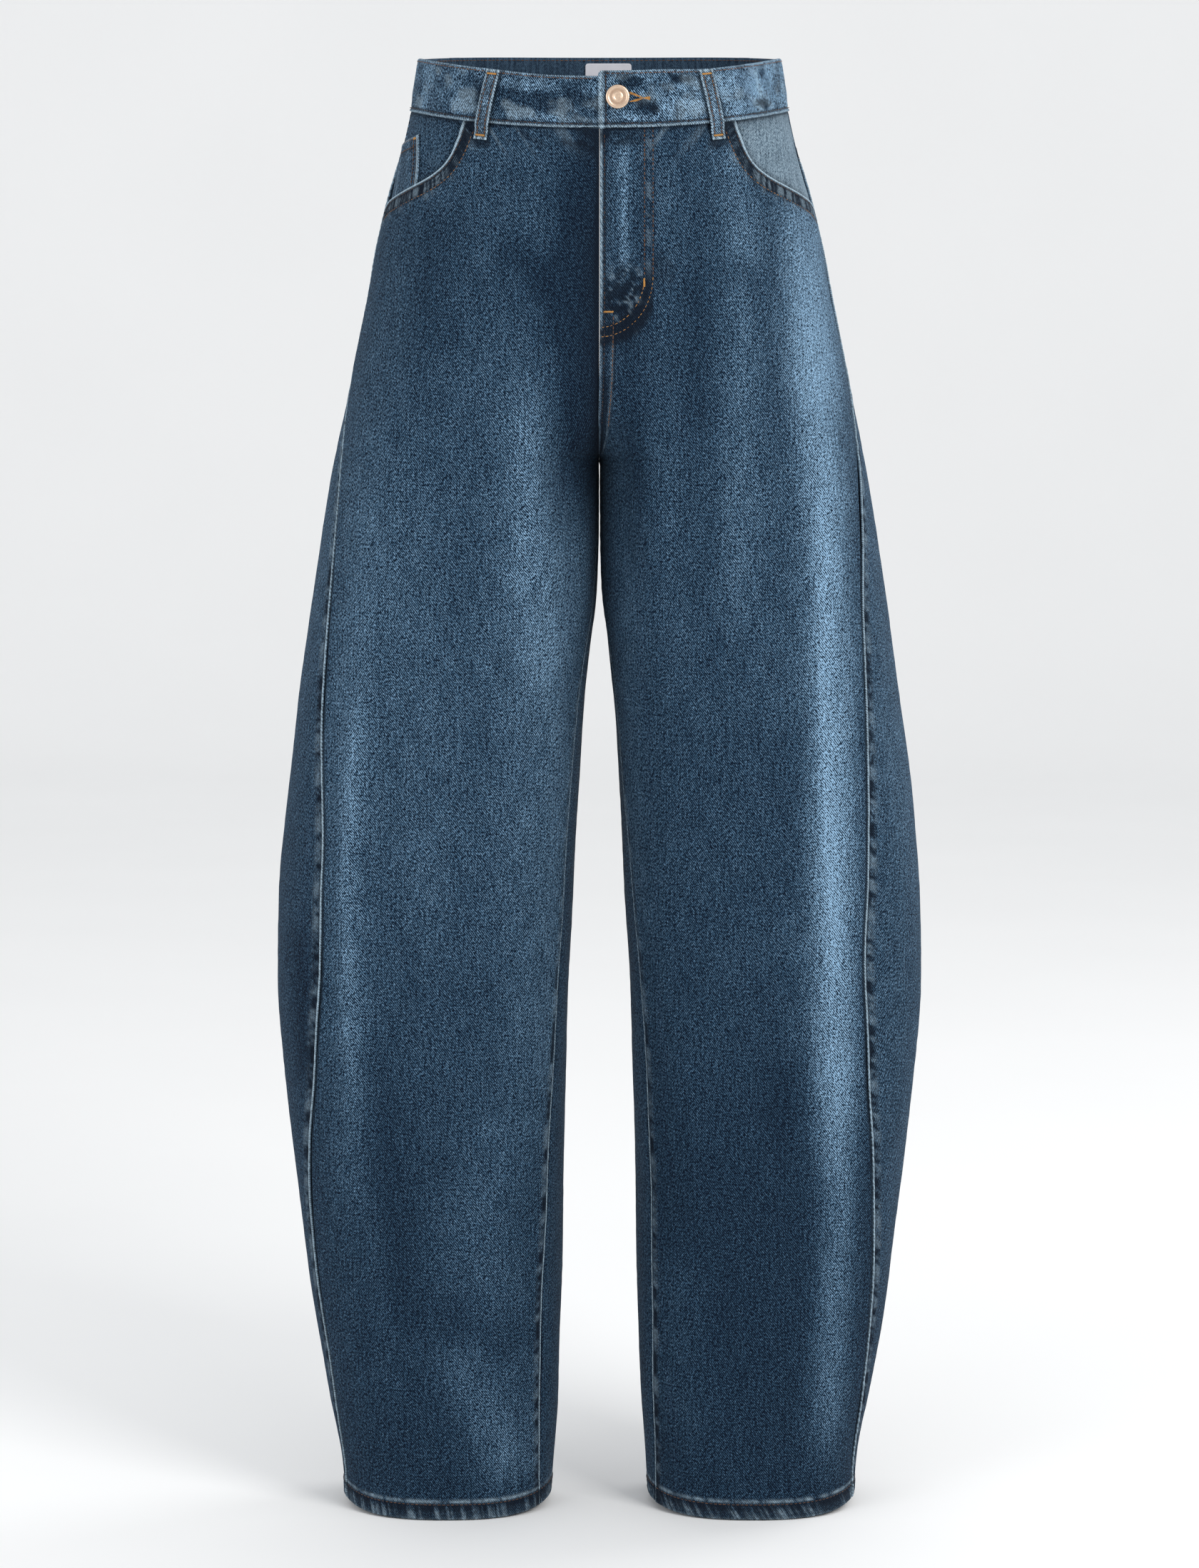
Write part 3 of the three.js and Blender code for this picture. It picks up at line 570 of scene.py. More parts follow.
# Detail of a back panel: its outseam, seat seam, yoke seam and hem.
def backDetail(side, height, distance):
    width = faceWidth(side, "back", height)
    toOut = width - distance
    forward = frontness(side, "back", height, distance)
    up = height - hemShift(height, forward) - garment["hem"]
    top = yokeHeight(np.clip(distance / width, 0, 1)) - height
    legs = smooth(garment["crotch"] + 6, garment["crotch"] - 10, height)
    out = ropeEdge(toOut, height, 131 + side, 0.85, 8.0, 0.9, 7.5)
    high = smooth(-80, -140, height)
    parts = [(out[0], out[1], out[2] * high), tuple(legs * value for value in groove(distance, 0.7, 0.9)),
             groove(top, 0.7, 1.0)]
    seat = 1 - legs
    if side > 0:
        knurl = twistAlong(height - distance, 0.7)
        parts.append((
            seat * 0.5 * smooth(9.6, 8.6, distance),
            seat * (0.7 * bell(distance - 0.9, 0.8) + 0.3 * bell(distance - 8.8, 0.7)) * knurl,
            seat * (0.6 * bell(distance - 9.9, 0.8) + 0.3 * bell(distance - 2.4, 0.7)),
        ))
    else:
        parts.append(tuple(seat * value for value in groove(distance, 0.7, 1.0)))
    low = smooth(40, 20, up)
    parts.append(tuple(low * value for value in hemRope(up, -side * distance, 121 + side, 0.4)))
    return total(parts)


# Washed-out paleness, from 0 for dark indigo to about 1 for bleached cloth: a base that changes slowly down
# the leg, and runs as for the folds whose last number is the paleness that they add. The runs are partly wash
# and partly painted light: a painted highlight along the left leg's bright ridge, painted shadow beside the
# fly, painted shade in a crease, and a paler inner edge on the right leg that stands in for light.
fadeBase = {"height": [20, -60, -200, -400, -650, -800, -1020], "right": [0.14, 0.095, 0.108, 0.113, 0.088,
    0.05, 0.045], "left": [0.13, 0.09, 0.085, 0.088, 0.068, 0.028, 0.036],
    "back": [0.14, 0.14, 0.165, 0.125, 0.065, 0.065, 0.065]}
fadeAndPaintedLightStrokes = {
    (1, "front"): [
        # Partly wash fade, partly a painted highlight along the ridge.
        ((132, 146, 157, 163, 167, 165), (-50, -150, -280, -450, -640, -800), 15, 0.44),
        ((138, 148, 152), (-60, -140, -240), 20, 0.18),
        ((154, 157, 162, 168), (-240, -400, -540, -680), 5, 0.24),
        ((169, 171, 168, 162), (-640, -770, -880, -1012), 13, 0.21),
        ((132, 134, 136), (-560, -640, -700), 14, 0.04),
        ((106, 98, 95, 94), (-70, -150, -280, -400), 14, 0.09),
        ((90, 96, 98), (-30, -75, -130), 13, 0.12),
        ((112, 122, 126), (-230, -330, -460), 18, 0.04),
        ((44, 46, 48), (-50, -100, -140), 8, 0.05),
        ((66, 68, 66), (-120, -190, -260), 13, -0.04),
        ((17, 17), (-34, -138), 3.2, 0.2),
        ((13, 13), (-30, -150), 12, 0.06),
        ((42, 44, 50, 60), (-200, -240, -300, -440), 14, 0.03),
        ((130, 130, 128), (-600, -680, -760), 16, -0.03),
        ((14, 20, 34), (-40, -200, -330), 12, -0.05),
        ((50, 56, 64), (-820, -900, -980), 20, 0.03),
        # A thin painted highlight along the ridge's crest.
        ((153, 156, 160, 164), (-360, -440, -520, -620), 2.6, 0.26),
        ((20, 24, 26), (-300, -480, -640), 10, 0.035),
    ],
    (-1, "front"): [
        ((150, 168, 176, 174, 160), (-170, -340, -560, -760, -960), 18, 0.07),
        ((166, 174, 178, 178, 172), (-390, -480, -570, -660, -760), 7, 0.11),
        ((52, 50, 44, 36), (-190, -280, -340, -440), 15, 0.13),
        ((60, 48, 44, 50, 56), (-220, -380, -560, -700, -800), 26, 0.07),
        ((66, 74, 68), (-700, -800, -910), 30, 0.055),
        ((150, 134, 126, 120), (-240, -340, -480, -640), 38, 0.035),
        ((172, 156, 132), (-640, -760, -900), 20, -0.035),
        ((104, 96, 78, 62), (-880, -920, -960, -1012), 18, 0.11),
        ((112, 112, 106), (-80, -130, -200), 22, -0.04),
        ((104, 96), (-40, -80), 22, 0.03),
        # Painted shadow beside the fly.
        ((12, 12, 8), (-20, -190, -330), 18, -0.13),
        # Paler inner edge of the leg: painted light.
        ((14, 20, 30, 34, 36), (-220, -300, -420, -620, -760), 11, 0.06),
        # Painted shade in a crease.
        ((74, 52, 30), (-108, -122, -150), 14, -0.06),
        ((30, 34), (-110, -190), 12, -0.05),
        ((66, 60, 50), (-890, -960, -1015), 20, 0.06),
        ((176, 170, 164), (-770, -850, -930), 9, -0.03),
        ((98, 98), (-760, -870), 34, 0.03),
    ],
    (-1, "back"): [
        ((213, 211), (-580, -720), 7, -0.06),
        ((96, 100, 104), (-300, -400, -520), 50, 0.08),
        ((90, 96), (-130, -240), 50, 0.14),
    ],
    (1, "back"): [
        ((196, 214, 206), (-340, -600, -880), 46, 0.05),
        ((96, 100, 104), (-300, -400, -520), 50, 0.08),
        ((90, 96), (-130, -240), 50, 0.14),
    ],
}


# Base and runs, times a little soft noise.
def fadeAt(side, face, height, distance):
    height, distance = np.broadcast_arrays(np.asarray(height, float), np.asarray(distance, float))
    column = "back" if face == "back" else "left" if side > 0 else "right"
    fade = readTable(fadeBase, "height", column, height)
    fade = fade + sumRuns(fadeAndPaintedLightStrokes, side, face, height, distance, 0.22)
    across = grainAcross(side, face, height, distance) + 300 * side
    cloud = softNoise(across, height, (30, 70), 201) + 0.8 * softNoise(across, height, (11, 26), 202)
    return np.clip(fade * (1 + 0.13 * cloud), 0.012, 1.3)


# Makes a mesh from points in mm, quads, triangles and point values. UVs are in mm as seen from outside.
def makeMesh(name, points, quads, triangles, uv, values, material):
    mesh = bpy.data.meshes.new(name)
    points = np.asarray(points, np.float32).reshape(-1, 3) / 1000
    corners = np.concatenate([quads.ravel(), triangles.ravel()]).astype(np.int32)
    starts = np.concatenate([4 * np.arange(len(quads)), 4 * len(quads)
        + 3 * np.arange(len(triangles))]).astype(np.int32)
    mesh.vertices.add(len(points))
    mesh.vertices.foreach_set("co", points.ravel())
    mesh.loops.add(len(corners))
    mesh.loops.foreach_set("vertex_index", corners)
    mesh.polygons.add(len(starts))
    mesh.polygons.foreach_set("loop_start", starts)
    mesh.update(calc_edges=True)
    layer = mesh.uv_layers.new(name="cloth")
    layer.data.foreach_set("uv", np.asarray(uv, np.float32).reshape(-1, 2)[corners].ravel())
    for key, value in values.items():
        attribute = mesh.attributes.new(key, "FLOAT", "POINT")
        attribute.data.foreach_set("value", np.asarray(value, np.float32).ravel())
    mesh.shade_smooth()
    made = bpy.data.objects.new(name, mesh)
    bpy.context.scene.collection.objects.link(made)
    made.data.materials.append(material)
    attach(made, "root")
    return made


noTriangles = np.zeros((0, 3), int)


# Six times the volume inside some faces: below zero where they face inwards.
def windingVolume(points, faces):
    a, b, c = (points[faces[:, i]] for i in range(3))
    return (np.cross(a, b) * c).sum()


# Every so many rows or columns, with both ends kept.
def thin(count, step):
    return np.unique(np.append(np.arange(0, count, step), count - 1))


# Closes an outer and an inner grid with a rim. The unseen inner grid keeps only some rows and columns, so the
# rim runs from each outer point to the last kept inner point: a quad where that moves on, else a triangle.
def shell(name, outer, inner, uv, values, material, steps=(3, 3)):
    rows, columns = outer.shape[:2]
    keptRows, keptColumns = thin(rows, steps[0]), thin(columns, steps[1])
    inner = inner[np.ix_(keptRows, keptColumns)]
    outerNumber = np.arange(rows * columns).reshape(rows, columns)
    innerNumber = rows * columns + np.arange(inner.shape[0] * inner.shape[1]).reshape(inner.shape[:2])
    sheet = lambda g: np.stack([g[:-1, :-1], g[1:, :-1], g[1:, 1:], g[:-1, 1:]], axis=-1).reshape(-1, 4)
    ring = lambda g: np.concatenate([g[0, :-1], g[:-1, -1], g[-1, :0:-1], g[:0:-1, 0]])
    r, c = (ring(np.broadcast_to(part, (rows, columns)))
        for part in (np.arange(rows)[:, None], np.arange(columns)))
    nearRow, nearColumn = (np.searchsorted(kept, part, side="right") - 1 for kept,
        part in ((keptRows, r), (keptColumns, c)))
    around, under = ring(outerNumber), innerNumber[nearRow, nearColumn]
    nextAround, nextUnder = np.roll(around, -1), np.roll(under, -1)
    moved = under != nextUnder
    rim = np.stack([around, nextAround, nextUnder, under], axis=-1)[moved]
    triangles = np.stack([around, nextAround, under], axis=-1)[~moved]
    quads = np.concatenate([sheet(outerNumber), sheet(innerNumber)[:, ::-1], rim])
    points = np.concatenate([outer.reshape(-1, 3), inner.reshape(-1, 3)])
    faces = np.concatenate([quads[:, :3], quads[:, [0, 2, 3]], triangles])
    if windingVolume(points, faces) < 0:
        quads, triangles = quads[:, ::-1], triangles[:, ::-1]
    innerCount = inner.shape[0] * inner.shape[1]
    full = {key: np.concatenate([np.broadcast_to(value, (rows, columns)).ravel(), np.zeros(innerCount)])
            for key, value in values.items()}
    full["inside"] = np.repeat([0.0, 1.0], [rows * columns, innerCount])
    uv = np.concatenate([uv.reshape(-1, 2), uv[np.ix_(keptRows, keptColumns)].reshape(-1, 2)])
    return makeMesh(name, points, quads, triangles, uv, full, material)


# Steps from 0 to a length that are fine near both ends.
def fineSteps(length, fine, coarse, run):
    lip = np.array([0, 0.08, 0.2, 0.36, 0.55, 0.9])
    near = np.arange(1.6, run, fine)
    count = max(2, int(round((length - 2 * run) / coarse)))
    middle = np.linspace(run, length - run, count + 1)
    half = np.concatenate([lip, near])
    return np.concatenate([half, middle, length - half[::-1]])


# The same steps as shares of the length.
def fineShares(length, fine, coarse, run):
    return fineSteps(length, fine, coarse, run) / length


# Rounds a cut edge: the outer and inner faces draw together over the last half millimetre.
def roundEdge(away, outside, inside):
    r = garment["edgeRound"]
    share = np.sqrt(np.clip(1 - (1 - np.clip(away / r, 0, 1)) ** 2, 0, 1))
    keep = 0.15 + 0.85 * share
    middle = (outside + inside) / 2
    return middle + (outside - middle) * keep, middle + (inside - middle) * keep


# How much of a sheet's height a rounded corner takes away at a distance from its side.
def cornerCut(fromSide, corner):
    return np.where(fromSide < corner, corner
        - np.sqrt(np.clip(corner ** 2 - (corner - fromSide) ** 2, 0, None)), 0)


# A share of a face's width as a distance, and how far that place is from the nearer seam.
def insideSeams(side, face, height, share):
    gap = garment["seamGap"] / 2
    width = faceWidth(side, face, height)
    distance = gap + share * (width - 2 * gap)
    return distance, np.minimum(distance - gap, width - gap - distance)


# The three values that the denim reads at each point.
def clothValues(fade, pale, dark):
    return {"fade": fade, "pale": np.clip(pale, 0, 1.2), "dark": np.clip(dark, 0, 1)}


class Value:
    # A shader socket with arithmetic: each operator adds a Math node to its tree.
    def __init__(self, tree, socket):
        self.tree, self.socket = tree, socket

    def math(self, operation, *others, clamp=False):
        node = self.tree.nodes.new("ShaderNodeMath")
        node.operation, node.use_clamp = operation, clamp
        for entry, value in zip(node.inputs, (self, *others)):
            if isinstance(value, Value):
                self.tree.links.new(value.socket, entry)
            else:
                entry.default_value = value
        return Value(self.tree, node.outputs[0])

    def __add__(self, other):
        return self.math("ADD", other)

    def __radd__(self, other):
        return self.math("ADD", other)

    def __sub__(self, other):
        return self.math("SUBTRACT", other)

    def __rsub__(self, other):
        return self.math("MULTIPLY", -1).math("ADD", other)

    def __mul__(self, other):
        return self.math("MULTIPLY", other)

    def __rmul__(self, other):
        return self.math("MULTIPLY", other)

    def __truediv__(self, other):
        return self.math("DIVIDE", other)

    def clamp(self):
        return self.math("ADD", 0, clamp=True)


class Material:
    # A node material. node() adds any node by its type, settings and inputs.
    def __init__(self, name):
        self.made = bpy.data.materials.new(name)
        self.made.use_nodes = True
        self.tree = self.made.node_tree
        self.tree.nodes.clear()

    def node(self, kind, settings=None, inputs=None, output=0):
        node = self.tree.nodes.new(kind)
        for key, value in (settings or {}).items():
            setattr(node, key, value)
        for key, value in (inputs or {}).items():
            if isinstance(value, Value):
                self.tree.links.new(value.socket, node.inputs[key])
            else:
                node.inputs[key].default_value = value
        return Value(self.tree, node.outputs[output]) if len(node.outputs) else None

    def attribute(self, name):
        return self.node("ShaderNodeAttribute", {"attribute_name": name}, output="Fac")

    def vector(self, x, y, z=0.0):
        return self.node("ShaderNodeCombineXYZ", None, {"X": x, "Y": y, "Z": z})

    def noise(self, place, scale=1.0, detail=2.0, roughness=0.5):
        flat = {"noise_dimensions": "2D"}
        return self.node("ShaderNodeTexNoise", flat, {"Vector": place, "Scale": scale, "Detail": detail,
            "Roughness": roughness})

    def mix(self, share, first, second):
        # A Mix node's colours are its inputs 6 and 7 and its output 2
        return self.node("ShaderNodeMix", {"data_type": "RGBA"}, {0: share, 6: first, 7: second}, output=2)

    def finish(self, constants, colour, roughness=None, bump=None, bumpSize=0.0003, bumpStrength=0.6):
        inputs = dict(constants)
        inputs["Base Color"] = colour
        if roughness is not None:
            inputs["Roughness"] = roughness
        if bump is not None:
            inputs["Normal"] = self.node("ShaderNodeBump", None,
                {"Height": bump, "Distance": bumpSize, "Strength": bumpStrength})
        surface = self.node("ShaderNodeBsdfPrincipled", None, inputs)
        self.node("ShaderNodeOutputMaterial", None, {"Surface": surface})
        return self.made


denimLook = {"dark": (0.0006, 0.0045, 0.0135, 1), "mid": (0.026, 0.064, 0.112, 1),
    "pale": (0.25, 0.41, 0.58, 1), "midLevel": 0.2, "worn": (0.36, 0.48, 0.57, 1),
    "seam": (0.0025, 0.0055, 0.012, 1), "inside": (0.014, 0.028, 0.05, 1),
    "insidePale": (0.05, 0.09, 0.14, 1), "twillPitch": 1.24, "twillLean": 37.4, "twill": 1.0, "yarn": 4.7,
    "speck": 4.7, "cloud": 0.85, "slub": 1.4, "least": 0.1, "roughness": 0.9, "sheen": 0.02, "bump": 0.8, }


# Twill: paleness = washed level, with its painted highlight and shade, * (1 + twill lines + uneven yarn +
# specks + slubs), mixed from dark indigo by way of blue to pale weft.
def denim(name, **changes):
    look = {**denimLook, **changes}
    m = Material(name)
    place = m.node("ShaderNodeUVMap", {"uv_map": "cloth"})
    across, along = (m.node("ShaderNodeSeparateXYZ", None, {"Vector": place}, axis) for axis in "XY")
    fade, pale, dark, inside = (m.attribute(key) for key in ("fade", "pale", "dark", "inside"))
    lean = math.radians(look["twillLean"])
    over = across * math.cos(lean) + along * math.sin(lean)
    down = along * math.cos(lean) - across * math.sin(lean)
    wander = m.noise(m.vector(across / 9, along / 9), detail=1.0) * 5
    lines = (over * (2 * math.pi / look["twillPitch"]) + wander).math("SINE")
    yarn = m.noise(m.vector(over / 0.7, down / 1.7), detail=1.0) - 0.5
    speck = m.noise(m.vector(across / 1.7 + 40, along / 1.7), detail=2.5, roughness=0.7) - 0.5
    slub = m.noise(m.vector(across / 1.5, along / 26), detail=2.0, roughness=0.6) - 0.5
    cloud = m.noise(m.vector(across / 11, along / 14), detail=3.0, roughness=0.6) - 0.5
    grain = lines * look["twill"] + yarn * look["yarn"] + speck * look["speck"] + slub * look["slub"]
    level = (fade * 0.94 * (1 + cloud * look["cloud"]) * (1 + grain).math("MAXIMUM", 0.04)
        + grain * look["least"])
    body = m.mix((level / look["midLevel"]).clamp(), look["dark"], look["mid"])
    body = m.mix(((level - look["midLevel"]) / (1 - look["midLevel"])).clamp(), body, look["pale"])
    worn = (pale * (0.82 + grain * 0.2)).clamp()
    body = m.mix(worn, body, look["worn"])
    # Darkness mixes toward the seam-and-shade colour: dark seam lines, and painted shade and shadow under the
    # band, beside the fly and the loops, and in hollows.
    body = m.mix((dark * (0.95 + speck * 1.2)).clamp() * 0.94, body, look["seam"])
    lining = m.mix((speck * 2.2 + slub * 2 + 0.45 + lines * 0.2).clamp(), look["inside"], look["insidePale"])
    colour = m.mix(inside, body, lining)
    rough = look["roughness"] + speck * 0.1
    bump = lines * 0.3 + yarn * 1.3 + speck * 1.0 + cloud * 0.6
    constants = {"Specular IOR Level": 0.1, "Sheen Weight": look["sheen"], "Sheen Roughness": 0.5,
                 "Sheen Tint": (0.75, 0.85, 1, 1)}
    return m.finish(constants, colour, rough, bump, 0.00035, look["bump"])


denimFront = denim("denimFront")
denimBack = denim("denimBack", cloud=0.9)
denimWaist = denim("denimWaist", cloud=3.0, speck=8.0, yarn=7.0, twill=1.8)
denimFacing = denim("denimFacing", mid=(0.06, 0.1, 0.14, 1), pale=(0.3, 0.4, 0.48, 1), cloud=0.6, twill=0.4,
    yarn=1.8, speck=1.8)
denimCoin = denim("denimCoin", cloud=0.7)
print("stage: cloth materials made")


# Tops that go up inside the waistband, drawn together there, as the seam allowance is.
tuck = {"height": 2.6, "outside": -0.3, "inside": -1.0}


# Draws a top edge in behind the waistband.
def tuckTop(fromTop, on, outside, inside):
    share = on * smooth(tuck["height"] + 0.6, tuck["height"] - 0.6, fromTop)
    return outside + (tuck["outside"] - outside) * share, inside + (tuck["inside"] - inside) * share


# The heights of a leg panel's rows, close together at the top and in the hem.
def legRows():
    steps = [fineSteps(182, 0.9, 1.8, 14)[:-1] / 182]
    top = -18 - 182 * steps[0][steps[0] < 0.95]
    lower = np.arange(top[-1] - 2.7, -998, -2.7)
    foot = np.concatenate([np.arange(-999, -1016.4, -0.75), -1018
        + np.array([1.2, 0.9, 0.55, 0.36, 0.2, 0.08, 0])])
    return np.concatenate([top, lower, foot])


panels = {"front_right": {"side": -1, "face": "front", "flat": (0.252, 1.0), "area": 0.199, "held": "hung",
    "restsOn": ["waistband"]}, "front_left": {"side": 1, "face": "front", "flat": (0.252, 1.0),
    "area": 0.198, "held": "hung", "restsOn": ["waistband"]}, "back_right": {"side": -1, "face": "back",
    "flat": (0.44, 0.98), "area": 0.352, "held": "hung", "restsOn": ["yoke_right"]},
    "back_left": {"side": 1, "face": "back", "flat": (0.44, 0.98), "area": 0.352, "held": "hung",
    "restsOn": ["yoke_left"]}, }


# A leg panel: rows of the garment's section between its two seams, with folds, seams and hem raised in it.
def legPanel(name, look):
    side, face = look["side"], look["face"]
    nominal = 215 if face == "front" else 250
    share = fineShares(nominal, 1.1, 1.3 if face == "front" else 4.5, 13 if face == "front" else 11)
    rowHeight, share = np.meshgrid(legRows(), share, indexing="ij")
    onBand = (smooth(0.56, 0.53, share) * (1 if side > 0 else smooth(4, 20, share * nominal))
        * (face == "front"))
    top = (frontTop(side, share) + tuck["height"] * onBand if face == "front" else yokeHeight(share)
        - garment["seamGap"])
    shapeEnd = garment["topShapeEnd"]
    stretch = (top - shapeEnd) / (band["foot"] - shapeEnd)
    height = np.where(rowHeight > shapeEnd, shapeEnd + (rowHeight - shapeEnd) * stretch, rowHeight)
    distance, _ = insideSeams(side, face, height, share)
    height = height + hemShift(height, frontness(side, face, height, distance))
    distance, fromSeam = insideSeams(side, face, height, share)
    folded = smooth(garment["hem"] + garment["hemDepth"] + 0.4, garment["hem"] + garment["hemDepth"] - 0.4,
        rowHeight)
    raised = flyRaise(side, height, distance) if face == "front" else 0 * height
    outside = raised + folded * garment["hemOutside"]
    inside = raised - garment["cloth"] + folded * (garment["hemInside"] + garment["cloth"])
    away = np.minimum.reduce([fromSeam, (top - height) * 0.9, rowHeight - garment["hem"]])
    outside, inside = roundEdge(away, outside, inside)
    outside, inside = tuckTop(top - height, onBand, outside, inside)
    lift, pale, dark = (frontDetail if face == "front" else backDetail)(side, height, distance)
    fold = foldLift(side, face, height, distance)
    across = grainAcross(side, face, height, distance)
    grain = 0.12 * softNoise(across, height, (4.5, 6), 17)
    outer = clothPoint(side, face, height, distance, outside + fold + lift + grain)
    inner = clothPoint(side, face, height, distance, inside + fold)
    seen = side if face == "front" else -side
    uv = np.stack([seen * across, height], axis=-1)
    values = clothValues(fadeAt(side, face, height, distance), pale, dark)
    piece = shell(name + "_cloth", outer, inner, uv, values, denimFront if face == "front"
        else denimBack)
    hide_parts(name)
    return piece


for name, look in panels.items():
    legPanel(name, look)
print("stage: leg panels made")


# A smaller sheet on one face between a top and a foot line, with its own detail.
def patch(name, side, face, down, across, place, detail, material, look, replaced):
    down, across = np.meshgrid(down, across, indexing="ij")
    height, distance, outside, inside, away = place(down, across)
    rounded, inner = roundEdge(away, outside, inside)
    lift, pale, dark = detail(height, distance, away, down, across)
    fold = foldLift(side, face, height, distance)
    outerGrid = clothPoint(side, face, height, distance, rounded + fold + lift)
    innerGrid = clothPoint(side, face, height, distance, inner + fold)
    seen = side if face == "front" else -side
    uv = np.stack([seen * (grainAcross(side, face, height, distance) + 37 * len(name)), height
        + 11 * len(name)], axis=-1)
    values = clothValues(fadeAt(side, face, height, distance) + look.get("fade", 0.0), pale, dark)
    piece = shell(name, outerGrid, innerGrid, uv, values, material)
    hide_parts(*replaced)
    return piece


yokeLook = {"flat": (0.215, 0.079), "area": 0.0112, "held": "hung", "restsOn": ["waistband"], "rope": 0.8}


# A yoke lies between the waistband and the slanting seam under it.
def makeYoke(word, side):
    def place(down, across):
        top, foot = bandFootAt(side, "back", across) + tuck["height"], yokeHeight(across)
        height = top + (foot - top) * down
        distance, fromSeam = insideSeams(side, "back", height, across)
        away = np.minimum.reduce([fromSeam, top - height, height - foot])
        outside, inside = tuckTop(top - height, 1, 0 * height, 0 * height - garment["cloth"])
        return height, distance, outside, inside, away

    def detail(height, distance, away, down, across):
        foot = height - yokeHeight(across)
        lift, pale, dark = ropeEdge(foot, distance, 151 + side, yokeLook["rope"], 8.5, 0.5, 9.0)
        lap = bandFootAt(side, "back", across) - height
        gather = softNoise(distance - 0.6 * lap, lap, (4.6, 60), 155 + side) * smooth(16, 3, lap)
        # Painted shadow in a thin line under the waistband's edge; the dark line down the middle of the right
        # yoke is its seam.
        return (lift + 0.35 * gather, pale + 0.2 * smooth(0.2, 0.8, gather), dark + 0.5 * bell(lap, 1.2)
            + 0.5 * bell(distance, 1.2) * (side < 0))

    rows = fineShares(60, 0.9, 2.2, 10)
    columns = fineShares(200, 1.6, 3.0, 10)
    patch(f"yoke_{word}_cloth", side, "back", rows, columns, place, detail, denimBack,
        yokeLook, [f"yoke_{word}"])


facingLook = {"flat": (0.118, 0.112), "area": 0.0118, "held": "hung", "restsOn": ["waistband"],
    "foot": -128.0, "underlap": 0.08, "offset": -0.8, "riseStart": 8.0, "riseEnd": 45.0, "fade": 0.0}
coinLook = {"flat": (0.062, 0.078), "area": 0.0047, "held": "laid", "restsOn": ["pocket_facing_right"],
    "top": -34.5, "slope": 8.0, "foot": -112.0, "wall": 1.0, "clearance": 0.6, "start": 0.752,
    "lean": 0.0014, "fade": 0.12}


# How far out a facing lies: under the front at its foot, and near the surface where it shows.
def facingOutside(side, height, across):
    layers = (coinLook["wall"] + 2 * garment["layerGap"] + coinLook["clearance"] if side < 0
        else garment["layerGap"])
    under = -garment["cloth"] - layers
    opening = openingHeight(across)
    return (under + (facingLook["offset"] - under) * smooth(facingLook["riseStart"], facingLook["riseEnd"],
        height - opening))


# A facing runs from under the front, through the opening, to the outseam.
def makeFacing(word, side):
    look = {**facingLook, "fade": 0.42 if side > 0 else 0.03}
    begin = pocketOpening["share"][0] - look["underlap"]

    def place(down, across):
        share = begin + (1 - begin) * across
        top = bandFootAt(side, "front", share) + tuck["height"]
        height = top + (look["foot"] - top) * down
        outside = facingOutside(side, height, share)
        outside, inside = tuckTop(top - height, 1, outside, outside - garment["cloth"])
        distance, fromSeam = insideSeams(side, "front", height, share)
        fromStart = distance - begin * faceWidth(side, "front", height)
        away = np.minimum.reduce([fromStart, fromSeam, top - height, height - look["foot"]])
        return height, distance, outside, inside, np.clip(away, 0, None)

    def detail(height, distance, away, down, across):
        share = begin + (1 - begin) * across
        lap = bandFootAt(side, "front", share) - height
        near, along = nearLine(distance, height, *openingLine(side))
        shade = (0.55 * bell(near, 3.0) + 0.6 * bell(lap, 1.6) + 0.22 * bell(lap, 8)
            + (0.2 * bell(near, 14) if side < 0 else 0.12 * bell(near, 16)))
        soft = softNoise(distance, height, (15, 11), 171 + side)
        return 0.5 * soft * smooth(2, 12, lap), 0 * height, shade

    rows = fineShares(105, 1.2, 2.2, 8)
    columns = fineShares(110, 1.3, 2.4, 8)
    patch(f"pocket_facing_{word}_cloth", side, "front", rows, columns, place, detail,
          denimFacing if side > 0 else denimCoin, look, [f"pocket_facing_{word}"])


# The coin pocket's free edge hangs straight down while the face widens below it.
def coinShares(height, across):
    begin = coinLook["start"] + coinLook["lean"] * (height - coinLook["top"])
    return begin, begin + (1 - begin) * across


